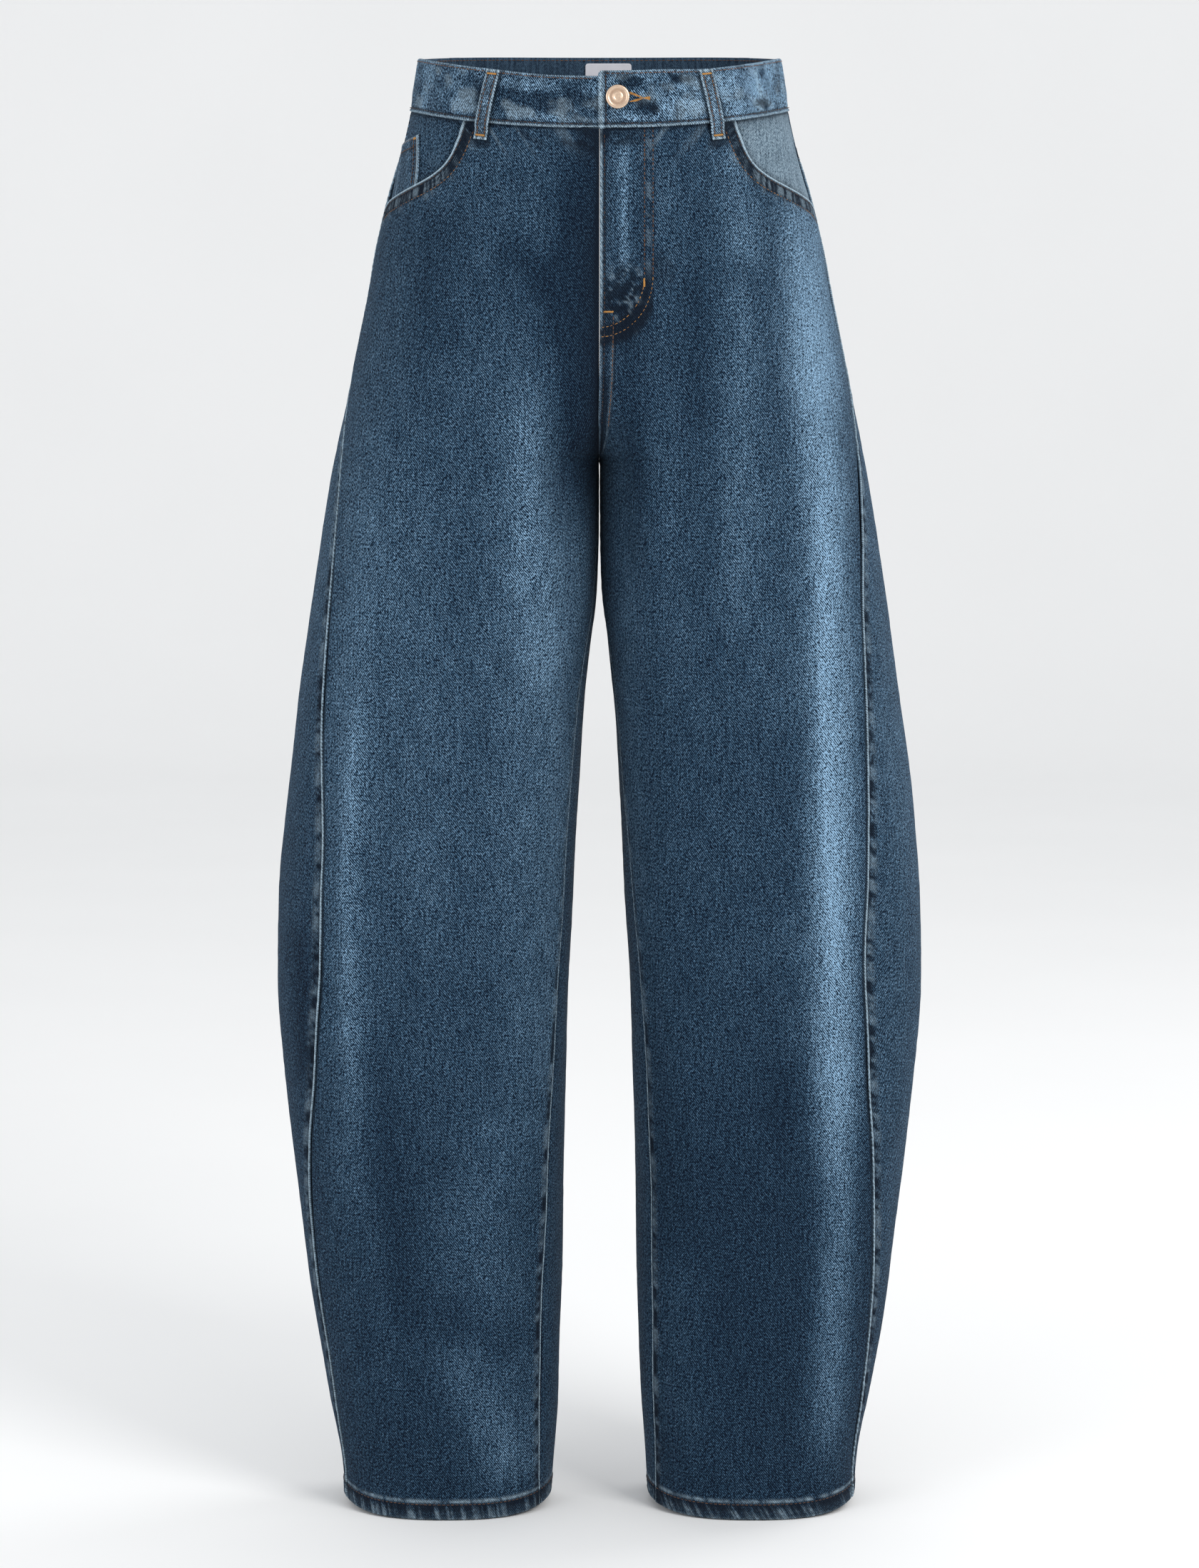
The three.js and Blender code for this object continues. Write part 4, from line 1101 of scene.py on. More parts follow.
# The coin pocket lies on the right facing, from its own edge to the outseam.
def makeCoin():
    def place(down, across):
        top = coinLook["top"] - coinLook["slope"] * across
        height = top + (coinLook["foot"] - top) * down
        begin, share = coinShares(height, across)
        inside = facingOutside(-1, height, share) + garment["layerGap"]
        distance, fromSeam = insideSeams(-1, "front", height, share)
        fromEdge = distance - insideSeams(-1, "front", height, begin)[0]
        away = np.minimum.reduce([fromEdge, fromSeam, top - height, height - coinLook["foot"]])
        return height, distance, inside + coinLook["wall"], inside, away

    def detail(height, distance, away, down, across):
        begin, share = coinShares(height, across)
        width = faceWidth(-1, "front", height)
        side = distance - begin * width
        top = coinLook["top"] - coinLook["slope"] * across - height
        knurl = twistAlong(height + side, 0.65, 2.2)
        strip = smooth(7.2, 6.2, side)
        wrinkle = unevenNoise(side * 0.9 + 0.28 * top + 2.5 * np.sin(height / 9), 5.0, 181)
        lift = (0.6 * bell(side - 1.6, 1.6) + 0.35 * bell(top - 1, 0.9) - 0.4 * bell(side - 6.6, 0.8)
            + 0.5 * wrinkle * smooth(7, 10, side) * smooth(4, 9, top))
        pale = (1.2 * bell(side - 1.7, 1.5) * knurl + 0.8 * bell(top - 0.9, 0.8) * knurl
            + 0.3 * smooth(0.15, 0.6, wrinkle) * smooth(8, 11, side))
        dark = (0.6 * bell(side - 4.1, 0.9) + 0.3 * bell(side - 7.4, 0.9) + 0.45 * bell(top - 8, 1.5)
            * smooth(0, 8, side) + 0.4 * smooth(0, -0.5, wrinkle) * smooth(8, 12, side) + 0.15)
        return lift, pale, dark

    rows = fineShares(75, 1.0, 1.6, 8)
    columns = fineShares(60, 0.9, 1.6, 8)
    patch("coin_pocket_cloth", -1, "front", rows, columns, place, detail, denimCoin,
        coinLook, ["coin_pocket"])


backPocketLook = {"flat": (0.132, 0.133), "area": 0.0152, "held": "laid", "restsOn": [], "top": -106.0,
    "sideFoot": -218.0, "point": -236.0, "slope": 6.0, "taper": 7.0, "from": 2 / 14, "to": 9 / 14,
    "wall": 1.2, "fade": 0.05}


# A place on a back pocket, whose foot comes to a point and whose sides draw in.
def backPocketPlace(side, down, across):
    look = backPocketLook
    column = look["from"] + (look["to"] - look["from"]) * across
    foot = look["point"] + (look["sideFoot"] - look["point"]) * np.abs(2 * across - 1)
    top = look["top"] + look["slope"] * across
    height = top + (foot - top) * down
    width = faceWidth(side, "back", height)
    distance = (0.15 + column * (width - 0.3) + look["taper"] * down * (1 - 2 * across)
        * np.abs(1 - 2 * across) ** 3)
    return height, distance, top, foot, column, width


# A back pocket is that outline laid on the back, with its rim raised.
def makeBackPocket(word, side):
    look = {**backPocketLook, "restsOn": [f"back_{word}"]}

    def edges(down, across):
        height, distance, top, foot, column, width = backPocketPlace(side, down, across)
        _, left, *_ = backPocketPlace(side, down, 0 * across)
        _, right, *_ = backPocketPlace(side, down, 0 * across + 1)
        return height, distance, distance - left, right - distance, top - height, (height - foot) * 0.93

    def place(down, across):
        height, distance, left, right, top, foot = edges(down, across)
        inside = 0 * height + garment["layerGap"]
        return height, distance, inside + look["wall"], inside, np.minimum.reduce([left, right, top, foot])

    def detail(height, distance, away, down, across):
        _, _, left, right, top, foot = edges(down, across)
        rim = np.minimum.reduce([left, right, foot])
        along = height + distance
        lift, pale, dark = ropeEdge(rim, along, 191 + side, 0.35, 8.0, 0.35, 8.0)
        knurl = twistAlong(distance + height, 0.7)
        lift = (lift + 0.35 * bell(top - 1, 1.0) + 0.25 * smooth(13, 11.5, top)
            + 0.5 * softNoise(distance, height, (17, 24), 195 + side) * smooth(6, 20, rim))
        pale = 0.8 * pale + 0.8 * bell(top - 0.8, 0.9) * knurl
        return lift, pale, 0.7 * dark + 0.3 * bell(top - 12, 0.9)

    rows = fineShares(120, 1.2, 2.4, 10)
    columns = fineShares(115, 1.2, 2.4, 10)
    patch(f"back_pocket_{word}_cloth", side, "back", rows, columns, place, detail, denimBack,
        look, [f"back_pocket_{word}"])


flyFacingLook = {"flat": (0.037, 0.148), "area": 0.0046, "held": "hung", "restsOn": ["waistband"],
    "fade": -0.02}


# The fly facing fills the J behind the left front.
def makeFlyFacing():
    def place(down, across):
        distance = 1 + (fly["width"] - 1) * np.sin(across * np.pi / 2)
        top = bandFootAt(1, "front", distance / faceWidth(1, "front", band["foot"]))
        foot = (fly["straight"] + (fly["point"] - fly["straight"])
            * np.sqrt(np.clip(1 - (distance / fly["width"]) ** 2, 0, 1)))
        height = top + (foot - top) * down
        outside = flyRaise(1, height, distance) - garment["cloth"] - 1.5 * garment["layerGap"]
        away = np.minimum.reduce([distance - 1, fly["width"] - distance, top - height, height - foot])
        return height, distance, outside, outside - garment["cloth"], away

    detail = (lambda height, distance, away, down, across: (0 * height, 0.4 * bell(away, 1.0), 0.1
        + 0 * height))
    patch("fly_facing_cloth", 1, "front", np.linspace(0, 1, 90), np.linspace(0, 1, 24), place, detail,
        denimCoin, flyFacingLook, ["fly_facing"])


for word, side in (("right", -1), ("left", 1)):
    makeYoke(word, side)
    makeFacing(word, side)
    makeBackPocket(word, side)
makeCoin()
makeFlyFacing()
print("stage: yokes, facings and pockets made")


# A place round the waist by its signed distance from the middle of the front or back.
def waistPoint(face, height, distance, offset=0.0):
    height, distance, offset = np.broadcast_arrays(height, distance, offset)
    right = clothPoint(-1, face, height, np.abs(distance), offset)
    left = clothPoint(1, face, height, np.abs(distance), offset)
    return np.where((distance < 0)[..., None], right, left)


# The outward direction round the waist.
def waistOutward(face, height, distance):
    height, distance = np.broadcast_arrays(height, distance)
    out = outward(1, face, height, np.abs(distance))
    return out * np.where(distance < 0, -1, 1)[..., None] ** np.array([1, 0, 0])


frontHalf = float(faceWidth(1, "front", 0))
backHalf = float(faceWidth(1, "back", 0))
beltLoops = {
    "belt_loop_front_right": {"face": "front", "top": -74.0, "foot": -84.5, "fade": 0.12},
    "belt_loop_front_left": {"face": "front", "top": 74.0, "foot": 84.5},
    "belt_loop_back_right": {"face": "back", "top": -112.0, "foot": -118.0},
    "belt_loop_back_left": {"face": "back", "top": 112.0, "foot": 118.0},
    "belt_loop_back_middle": {"face": "back", "top": 0.0, "foot": 0.0},
}
loopLook = {"width": 10.0, "below": 12.0, "tack": 6.0, "wall": 1.6, "slack": 1.4, "flat": (0.0115, 0.052),
    "area": 0.00058, "held": "folded", "restsOn": ["waistband_cloth"], "fade": 0.22}
loopLook["length"] = band["top"] - band["foot"] + loopLook["below"]
bandLook = {"flat": (0.778, 0.037), "area": 0.0288, "held": "hung", "restsOn": [], "overCorner": 3.0}


# Worn and dark places of the waistband: ellipses by their distance from the middle and level, on the front.
bandPatches = {"x": [92, -50, -112, -100, -88, -62, -34, -14, -48, -26, -70, -40, 13, 22, 28, 31, 24, 44,
    40, 52, 60, 58, 90, 104, 118, 122, 76, 96, 108, 100], "level": [0, -1, 8, -8, -7, 2, 0, 4, -11, -13,
    13, 11, 6, 11, 3, -3, -12, 3, -12, -4, 13, 2, 3, -2, 6, -9, 8, -12, 12, -8],
    "wide": [30, 34, 12, 9, 16, 15, 20, 12, 18, 13, 10, 14, 5, 9, 7, 7, 8, 12, 9, 16, 9, 5, 10, 8, 9, 8, 5,
    7, 10, 12], "high": [20, 15, 7, 5, 6, 7, 6, 6, 3.5, 3, 4, 4, 5, 4, 4, 5, 3, 4, 3, 5, 4, 4, 6, 5, 7, 4,
    7, 3, 4, 4], "add": [0.12, -0.06, 0.05, 0.12, 0.08, -0.07, -0.14, -0.12, 0.13, 0.1, 0.16, 0.08, -0.05,
    -0.22, 0.16, -0.32, 0.22, 0.16, 0.14, 0.28, -0.28, -0.14, 0.24, -0.2, 0.24, -0.28, -0.2, 0.22, 0.12,
    0.16], }


# The over end stands a little higher at its top than the end under it.
def lapTilt(isUnder, distance, level):
    share = (level - band["foot"]) / (band["top"] - band["foot"])
    return (share * np.where(isUnder, -band["underDrop"] * smooth(85, 30, np.abs(distance)),
        band["overRise"] * smooth(85, 35, distance)))


# Sum of the waistband's worn and dark places, with ragged edges.
def bandFade(signedDistance, level):
    lean = signedDistance + 0.7 * level
    fade = dark = 0 * level + 0 * signedDistance
    for x, middle, wide, high, add in zip(*bandPatches.values()):
        gap = np.hypot((lean - x - 0.7 * middle) / wide, (level - middle) / high)
        ragged = (gap + 0.45 * softNoise(lean, level, (5.5, 4.5), 301)
            + 0.35 * softNoise(lean, level, (2.4, 2.2), 302))
        shape = smooth(1.25, 0.5, ragged)
        fade = fade + add * shape
        dark = dark + max(-add - 0.08, 0) * 2.6 * shape
    return fade, dark


# Detail of the waistband by its level (height before the dip), and the run round the waist from the over end.
def bandDetail(level, run, fromOver):
    up, down = level - band["foot"], band["top"] - level
    knurl = twistAlong(run + up, 0.62, 2.2)
    crease = softNoise(run - 0.8 * up, up, (9, 40), 211) + 0.6 * softNoise(run + 0.3 * up, up, (5, 14), 212)
    middle = smooth(1, 7, up) * smooth(1, 6, down)
    patches = smooth(-0.1, 0.9, softNoise(run + 0.5 * up, up, (11, 9), 213)
        + 0.7 * softNoise(run, up, (5, 5), 214))
    lift = (band["rope"] * bell(up - 0.9, 0.95) - 0.55 * bell(up - 3.0, 0.8) + 0.25 * bell(down - 0.9, 0.8)
        + band["rumple"] * crease * middle)
    pale = 1.0 * bell(up - 0.9, 0.85) * knurl + 0.35 * bell(down - 0.5, 0.5) + 0.3 * patches * middle
    dark = 0.9 * bell(up - 3.0, 0.7) + 0.3 * smooth(0.15, -0.9, crease) * middle + 0.3 * bell(down - 2.2, 0.6)
    fold = bell(fromOver - 1.7, 1.9)
    lift = lift + 0.3 * fold - 0.35 * bell(fromOver - 5.2, 0.7)
    pale = pale + 0.75 * fold * knurl
    dark = dark + 0.8 * bell(fromOver - 5.3, 0.7)
    return lift, pale, dark


# One strip round the waist: it starts under the lap, runs right, round the back, and ends over itself.
def makeWaistband():
    end = np.array([0, 0.08, 0.2, 0.36, 0.55, 0.9, 1.6, 2.4, 3.2, 4.2, 5.2, 6.2])
    under = band["underEnd"] - np.arange(0, band["underEnd"] + band["lapRun"], 1.6)
    right = np.linspace(under[-1] - 1.2, -frontHalf, 150)
    backRun = np.linspace(-backHalf, backHalf, 180)[1:-1]
    left = np.linspace(frontHalf, band["overEnd"] + 7.2, 160)
    over = band["overEnd"] + end[::-1]
    face = np.array(["front"] * (len(under) + len(right)) + ["back"] * len(backRun) + ["front"]
        * (len(left) + len(over)))
    place = np.concatenate([under, right, backRun, left, over])
    isUnder = np.arange(len(place)) < len(under) + len(right)
    share = place / np.where(face == "back", backHalf, frontHalf)
    run = np.concatenate([[0], np.cumsum(np.abs(np.diff(np.where(face == "back", place + 2 * frontHalf,
        place))))])
    run = np.where(run > 2000, 0, run)
    rows = fineSteps(37, 0.9, 1.6, 7)
    level = band["top"] - rows
    level, share = np.meshgrid(level, share, indexing="ij")
    isBack = np.broadcast_to(face == "back", level.shape)
    lap = (np.broadcast_to(isUnder, level.shape) * smooth(-band["lapRun"], band["overEnd"] - 3,
        share * frontHalf))
    fromOver = np.broadcast_to(np.where((face == "front") & ~isUnder, place - band["overEnd"], 300),
        level.shape)
    fromUnder = np.broadcast_to(np.where(isUnder, band["underEnd"] - place, 300), level.shape)
    cut = cornerCut(fromOver, bandLook["overCorner"])
    up, down = level - band["foot"], band["top"] - level
    level = (level - cut * smooth(12, 0, down) + cut * smooth(12, 0, up) - 1.4 * smooth(7, 0, fromOver)
        * smooth(16, 0, up))
    runGrid = np.broadcast_to(share * np.where(isBack, backHalf, frontHalf) + np.where(isBack, 900, 0),
        level.shape)
    away = np.minimum.reduce([up, down, fromOver, fromUnder])
    lift, pale, dark = bandDetail(level, runGrid, fromOver)
    corner = bell(np.abs(share) - 1, 0.07) * smooth(14, 2, up)
    lift = lift * (1 - 0.85 * corner)
    outside, inside = roundEdge(away * 0.6, band["outside"] - 1.3 * corner, band["inside"] + 0 * level)
    grids = []
    tilt = np.where(isBack, 0, lapTilt(isUnder, share * frontHalf, level))
    for offset in (outside + lift * smooth(0, 1.2, away), inside):
        corners = []
        for name in ("front", "back"):
            side = np.where(share < 0, -1, 1)
            first = np.abs(share) * faceWidth(1, name, level)
            height = level + waistShift(frontness(1, name, level, first)) + tilt
            distance = np.abs(share) * faceWidth(1, name, height)
            flat = offset - lap * (band["outside"] - band["inside"] + garment["layerGap"])
            corners.append(clothPoint(1, name, height, distance, flat)
                * np.stack([side, 0 * side + 1, 0 * side + 1], axis=-1))
        grids.append(np.where(isBack[..., None], corners[1], corners[0]))
    sideFade = smooth(0.15, 0.75, share) + 0.35 * smooth(-0.62, -0.8, share)
    fade = np.where(isBack, 0.2, 0.09 + 0.27 * sideFade + 0.07 * smooth(1, 11, level))
    patches = softNoise(runGrid, level, (17, 13), 221) + 0.7 * softNoise(runGrid, level, (7, 6), 222)
    placed, blots = (value * ~isBack for value in bandFade(share * frontHalf, level))
    # Painted shadow on the band along both sides of each front belt loop.
    spot = beltLoops["belt_loop_front_left"]
    loopMiddle = spot["top"] + (spot["foot"] - spot["top"]) * (band["top"] - level) / loopLook["length"]
    besideLoop = bell(np.abs(np.abs(share * frontHalf) - loopMiddle) - 5.7, 1.3) * ~isBack
    dark = dark + 0.7 * besideLoop + blots
    values = clothValues(np.clip(fade * (1 + 0.58 * patches) + placed, 0.02, 1.2), pale, dark)
    uv = np.stack([np.where(isBack, -runGrid, runGrid), level], axis=-1)
    piece = shell("waistband_cloth", grids[0], grids[1], uv, values, denimWaist)
    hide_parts("waistband")


makeWaistband()

# A place on a belt loop: down runs from 0 at its top to 1 at its foot, across from -0.5 to 0.5.
def loopPoint(spot, down, across, extra):
    down, across, extra = np.broadcast_arrays(down, across, extra)
    distance = spot["top"] + (spot["foot"] - spot["top"]) * down + across * loopLook["width"]
    forward = frontness(1, spot["face"], 0, np.abs(distance))
    shift = waistShift(forward)
    height = band["top"] + shift + (band["foot"] - loopLook["below"] - band["top"]) * down
    bandEdge = band["foot"] + shift
    seat = (garment["layerGap"] + (band["outside"] + 0.5) * smooth(bandEdge - loopLook["tack"], bandEdge
        - 1, height))
    slack = loopLook["slack"] * np.sin(np.pi * np.clip(down, 0, 1)) ** 1.5
    return (waistPoint(spot["face"], height, distance, seat + slack + extra),
        waistOutward(spot["face"], height, distance))


# A belt loop is a strip down the waistband, fast at both ends and slack between them.
def makeLoop(name, spot):
    long, wide = loopLook["length"], loopLook["width"]
    down = fineShares(long, 0.8, 1.1, 8)
    across = fineShares(wide, 0.5, 0.6, 3.4) - 0.5
    down, across = np.meshgrid(down, across, indexing="ij")
    sideAway = (0.5 - np.abs(across)) * wide
    endAway = np.minimum(down, 1 - down) * long
    away = np.minimum(sideAway, endAway)
    run = down * long
    knurl = twistAlong(run + 3 * across, 0.6, 2.0)
    ends = bell(endAway - 3.2, 1.2)
    lift = (0.3 * bell(sideAway - 0.7, 0.7) - 0.3 * bell(sideAway - 2.3, 0.55) - 0.35 * ends
        + 0.3 * softNoise(run, across * wide, (7, 8), 231 + len(name)))
    pale = 0.95 * bell(sideAway - 0.6, 0.75) * knurl + 0.75 * bell(endAway - 0.8, 1.0) + 0.1
    dark = 0.75 * bell(sideAway - 2.3, 0.8) + 0.35 * ends
    outside, inside = roundEdge(away, loopLook["wall"] + 0 * down, 0 * down)
    outer, _ = loopPoint(spot, down, across, outside + lift * smooth(0, 0.8, away))
    inner, _ = loopPoint(spot, down, across, inside)
    fade = spot.get("fade", loopLook["fade"]) + 0.08 * softNoise(run, across * wide, (6, 6), 241 + len(name))
    uv = np.stack([across * wide + spot["top"], -run], axis=-1)
    values = clothValues(fade, pale, dark)
    piece = shell(name + "_cloth", outer, inner, uv, values, denimWaist)
    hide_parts(name)


for name, spot in beltLoops.items():
    makeLoop(name, spot)
print("stage: waistband and belt loops made")

labelLook = {"middle": 6.6, "width": 34.0, "top": 18.5, "foot": -3.0, "wall": 1.0, "corner": 2.2,
    "flat": (0.034, 0.022), "area": 0.00072, "held": "laid", "restsOn": ["waistband_cloth"],
    "colour": (0.7, 0.7, 0.75, 1), "weave": (0.56, 0.56, 0.61, 1)}


# The label is a small flat sheet with round corners, inside the back of the waistband.
def makeLabel():
    m = Material("labelCloth")
    place = m.node("ShaderNodeUVMap", {"uv_map": "cloth"})
    weave = m.node("ShaderNodeTexNoise", {"noise_dimensions": "2D"},
        {"Vector": place, "Scale": 2.4, "Detail": 2.0})
    soft = m.node("ShaderNodeTexNoise", {"noise_dimensions": "2D"},
        {"Vector": place, "Scale": 0.12, "Detail": 1.0})
    colour = m.mix((weave * 0.6 + soft * 0.5).clamp(), labelLook["weave"], labelLook["colour"])
    material = m.finish({"Specular IOR Level": 0.3, "Sheen Weight": 0.15}, colour, 0.62 + weave * 0.1,
        weave, 0.0002, 0.4)
    down = fineShares(21.5, 0.8, 1.2, 5)
    across = fineShares(34, 0.8, 1.4, 5)
    down, across = np.meshgrid(down, across, indexing="ij")
    height = labelLook["top"] + (labelLook["foot"] - labelLook["top"]) * down
    distance = labelLook["middle"] + (across - 0.5) * labelLook["width"]
    fromSide = np.minimum(across, 1 - across) * labelLook["width"]
    cut = cornerCut(fromSide, labelLook["corner"])
    height = height - cut * smooth(0.5, 0, down) + cut * smooth(0.5, 1, down)
    away = np.minimum(fromSide, np.minimum(down, 1 - down) * 21.5)
    near = band["inside"] - garment["layerGap"]
    outside, inside = roundEdge(away, near + 0 * down, near - labelLook["wall"] + 0 * down)
    wave = 0.25 * softNoise(distance, height, (9, 7), 251)
    shown = waistPoint("back", height, distance, inside - np.abs(wave) * 0.5)
    hidden = waistPoint("back", height, distance, outside)
    uv = np.stack([distance, height], axis=-1)
    piece = shell("waist_label_cloth", shown, hidden, uv, {"fade": 0.5 + 0 * down, "pale": 0 * down,
        "dark": 0 * down}, material)
    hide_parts("waist_label")


makeLabel()

buttonLook = {"radius": 8.2, "across": 12.4, "height": -9.9, "segments": 96, "beads": 36,
    "metal": (0.61, 0.43, 0.31, 1), "worn": (0.76, 0.6, 0.46, 1), "recess": (0.34, 0.2, 0.13, 1)}


# The button is its profile turned round the waist's outward line, with small beads in the rim's hollow.
def makeButton():
    radius = buttonLook["radius"]
    profile = np.array([(0.0, 0.0), (4, 0), (4, 0.6), (4, 1.2), (6, 1.2), (radius - 0.7, 1.2),
        (radius - 0.25, 1.35), (radius, 1.8), (radius, 2.4), (radius, 2.95), (radius - 0.12, 3.25),
        (radius - 0.4, 3.5), (radius - 0.8, 3.6), (radius - 1.5, 3.66), (radius - 1.9, 3.62),
        (radius - 2.1, 3.5), (radius - 2.4, 3.42), (5.0, 3.42), (4.5, 3.42), (4.0, 3.42), (3.5, 3.44),
        (3.25, 3.6), (3.0, 3.7), (2.7, 3.7), (2.45, 3.58), (2.3, 3.46), (1.6, 3.46), (0.9, 3.5),
        (0.0, 3.52)])
    turn = np.linspace(0, 2 * np.pi, buttonLook["segments"], endpoint=False)
    r, reach = profile[:, 0][:, None], profile[:, 1][:, None]
    bead = (0.16 * smooth(0.2, 0.9, np.cos(turn * buttonLook["beads"] / 2) ** 2) * bell(r - 4.5, 0.55)
        * (reach > 3))
    reach = reach + bead
    slope = math.atan2(3.0, band["top"] - band["foot"])
    axis = np.array([0, -math.cos(slope), math.sin(slope)])
    upward = np.array([0, math.sin(slope), math.cos(slope)])
    sideways = np.array([1.0, 0, 0])
    seat = waistPoint("front", np.array(buttonLook["height"]), np.array(buttonLook["across"]),
        band["outside"] + garment["layerGap"])
    points = (seat + (r * np.cos(turn))[..., None] * sideways + (r * np.sin(turn))[..., None] * upward
        + reach[..., None] * axis)
    rows, columns = points.shape[:2]
    number = np.arange(rows * columns).reshape(rows, columns)
    nextOne = np.roll(number, -1, axis=1)
    quads = np.stack([number[:-1], nextOne[:-1], nextOne[1:], number[1:]], axis=-1).reshape(-1, 4)
    hollow = np.broadcast_to(bell(profile[:, 0][:, None] - 4.6, 1.2) * (profile[:, 1][:, None] > 3),
        (rows, columns))
    m = Material("buttonMetal")
    place = m.node("ShaderNodeTexCoord", output="Object")
    scratch = m.node("ShaderNodeTexNoise", None, {"Vector": place, "Scale": 900.0, "Detail": 3.0})
    tarnish = m.node("ShaderNodeTexNoise", None, {"Vector": place, "Scale": 260.0, "Detail": 2.0})
    recess = m.attribute("hollow")
    colour = m.mix((recess * 0.55 + tarnish * 0.25 - 0.1).clamp(),
        m.mix(scratch, buttonLook["metal"], buttonLook["worn"]), buttonLook["recess"])
    material = m.finish({"Metallic": 1.0}, colour, 0.3 + scratch * 0.14, scratch, 0.00004, 0.3)
    uv = np.zeros((rows * columns, 2))
    piece = makeMesh("button_metal_piece", points, quads, noTriangles, uv, {"hollow": hollow},
        material)
    weld(piece)
    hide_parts("button")


# Joins points that lie on each other and turns all faces outwards.
def weld(piece):
    bm = bmesh.new()
    bm.from_mesh(piece.data)
    bmesh.ops.remove_doubles(bm, verts=bm.verts, dist=1e-6)
    bmesh.ops.recalc_face_normals(bm, faces=bm.faces)
    bm.to_mesh(piece.data)
    bm.free()


makeButton()
print("stage: label and button made")

threadLook = {"radius": 0.27, "length": 2.7, "gap": 0.55, "rise": 0.32, "sink": 0.16, "sides": 6, "rings": 4,
              "dark": (0.01, 0.009, 0.013, 1), "brown": (0.15, 0.062, 0.022, 1),
              "tan": (0.48, 0.23, 0.045, 1), "fuzz": (0.02, 0.02, 0.03, 1)}
threads = []  # starts, ends, normals, tone of each lot of stitches


# Rows of stitches: even lengths cut from a line of points, with the cloth's outward direction at each.
def sewRow(points, normals, tone, length=None, seed=1):
    points, normals = np.asarray(points, float), np.asarray(normals, float)
    length = length or threadLook["length"]
    walked = np.concatenate([[0], np.cumsum(np.linalg.norm(np.diff(points, axis=0), axis=1))])
    pitch = length + threadLook["gap"]
    count = int(walked[-1] // pitch)
    if count < 1:
        return
    start = (walked[-1] - count * pitch + threadLook["gap"]) / 2 + pitch * np.arange(count)
    random = np.random.default_rng(seed + count)
    start = start + random.uniform(-0.12, 0.12, count)
    at = lambda place, values: np.stack([np.interp(place, walked, values[:, i]) for i in range(3)], axis=-1)
    tones = np.clip(tone + random.uniform(-0.14, 0.14, count), 0, 1)
    threads.append((at(start, points), at(start + length, points), at(start + length / 2, normals), tones))


# A bar of close zigzag threads between two sides.
def sewBar(place, centre, half, step, tone):
    (cu, cv), (hu, hv) = centre, half
    count = int(2 * hu / step)
    u = cu - hu + step * np.arange(count)
    starts, normals = place(u, np.full(count, cv - hv))
    ends, _ = place(u + step * 0.7, np.full(count, cv + hv))
    threads.append((
        starts,
        ends,
        normals,
        np.clip(tone + np.random.default_rng(count).uniform(-0.1, 0.1, count), 0, 1),
    ))


# Gives places on a panel's own raised surface, where stitches lie.
def onFace(side, face):
    def place(distance, height):
        distance, height = np.broadcast_arrays(np.asarray(distance, float), np.asarray(height, float))
        detail = frontDetail if face == "front" else backDetail
        lift = detail(side, height, distance)[0] + foldLift(side, face, height, distance)
        if face == "front":
            lift = lift + flyRaise(side, height, distance)
        folded = (height - hemShift(height, frontness(side, face, height, distance)) < garment["hem"]
            + garment["hemDepth"])
        return (clothPoint(side, face, height, distance, lift + folded * garment["hemOutside"]),
            outward(side, face, height, distance))
    return place


# A line in a face's own plane, moved sideways by an amount and cut into short steps.
def shiftedLine(lineD, lineH, amount):
    lineD, lineH = np.asarray(lineD, float), np.asarray(lineH, float)
    walked = np.concatenate([[0], np.cumsum(np.hypot(np.diff(lineD), np.diff(lineH)))])
    fine = np.linspace(0, walked[-1], max(8, int(walked[-1] / 1.5)))
    d, h = np.interp(fine, walked, lineD), np.interp(fine, walked, lineH)
    tangentD, tangentH = np.gradient(d), np.gradient(h)
    size = np.hypot(tangentD, tangentH)
    return d + amount * tangentH / size, h - amount * tangentD / size


# A row on a panel, beside a line by an amount.
def sewFaceRow(side, face, lineD, lineH, tone, amount=0.0, length=None):
    d, h = shiftedLine(lineD, lineH, amount)
    points, normals = onFace(side, face)(d, h)
    sewRow(points, normals, tone, length, seed=int(abs(d[0]) * 7) + side)


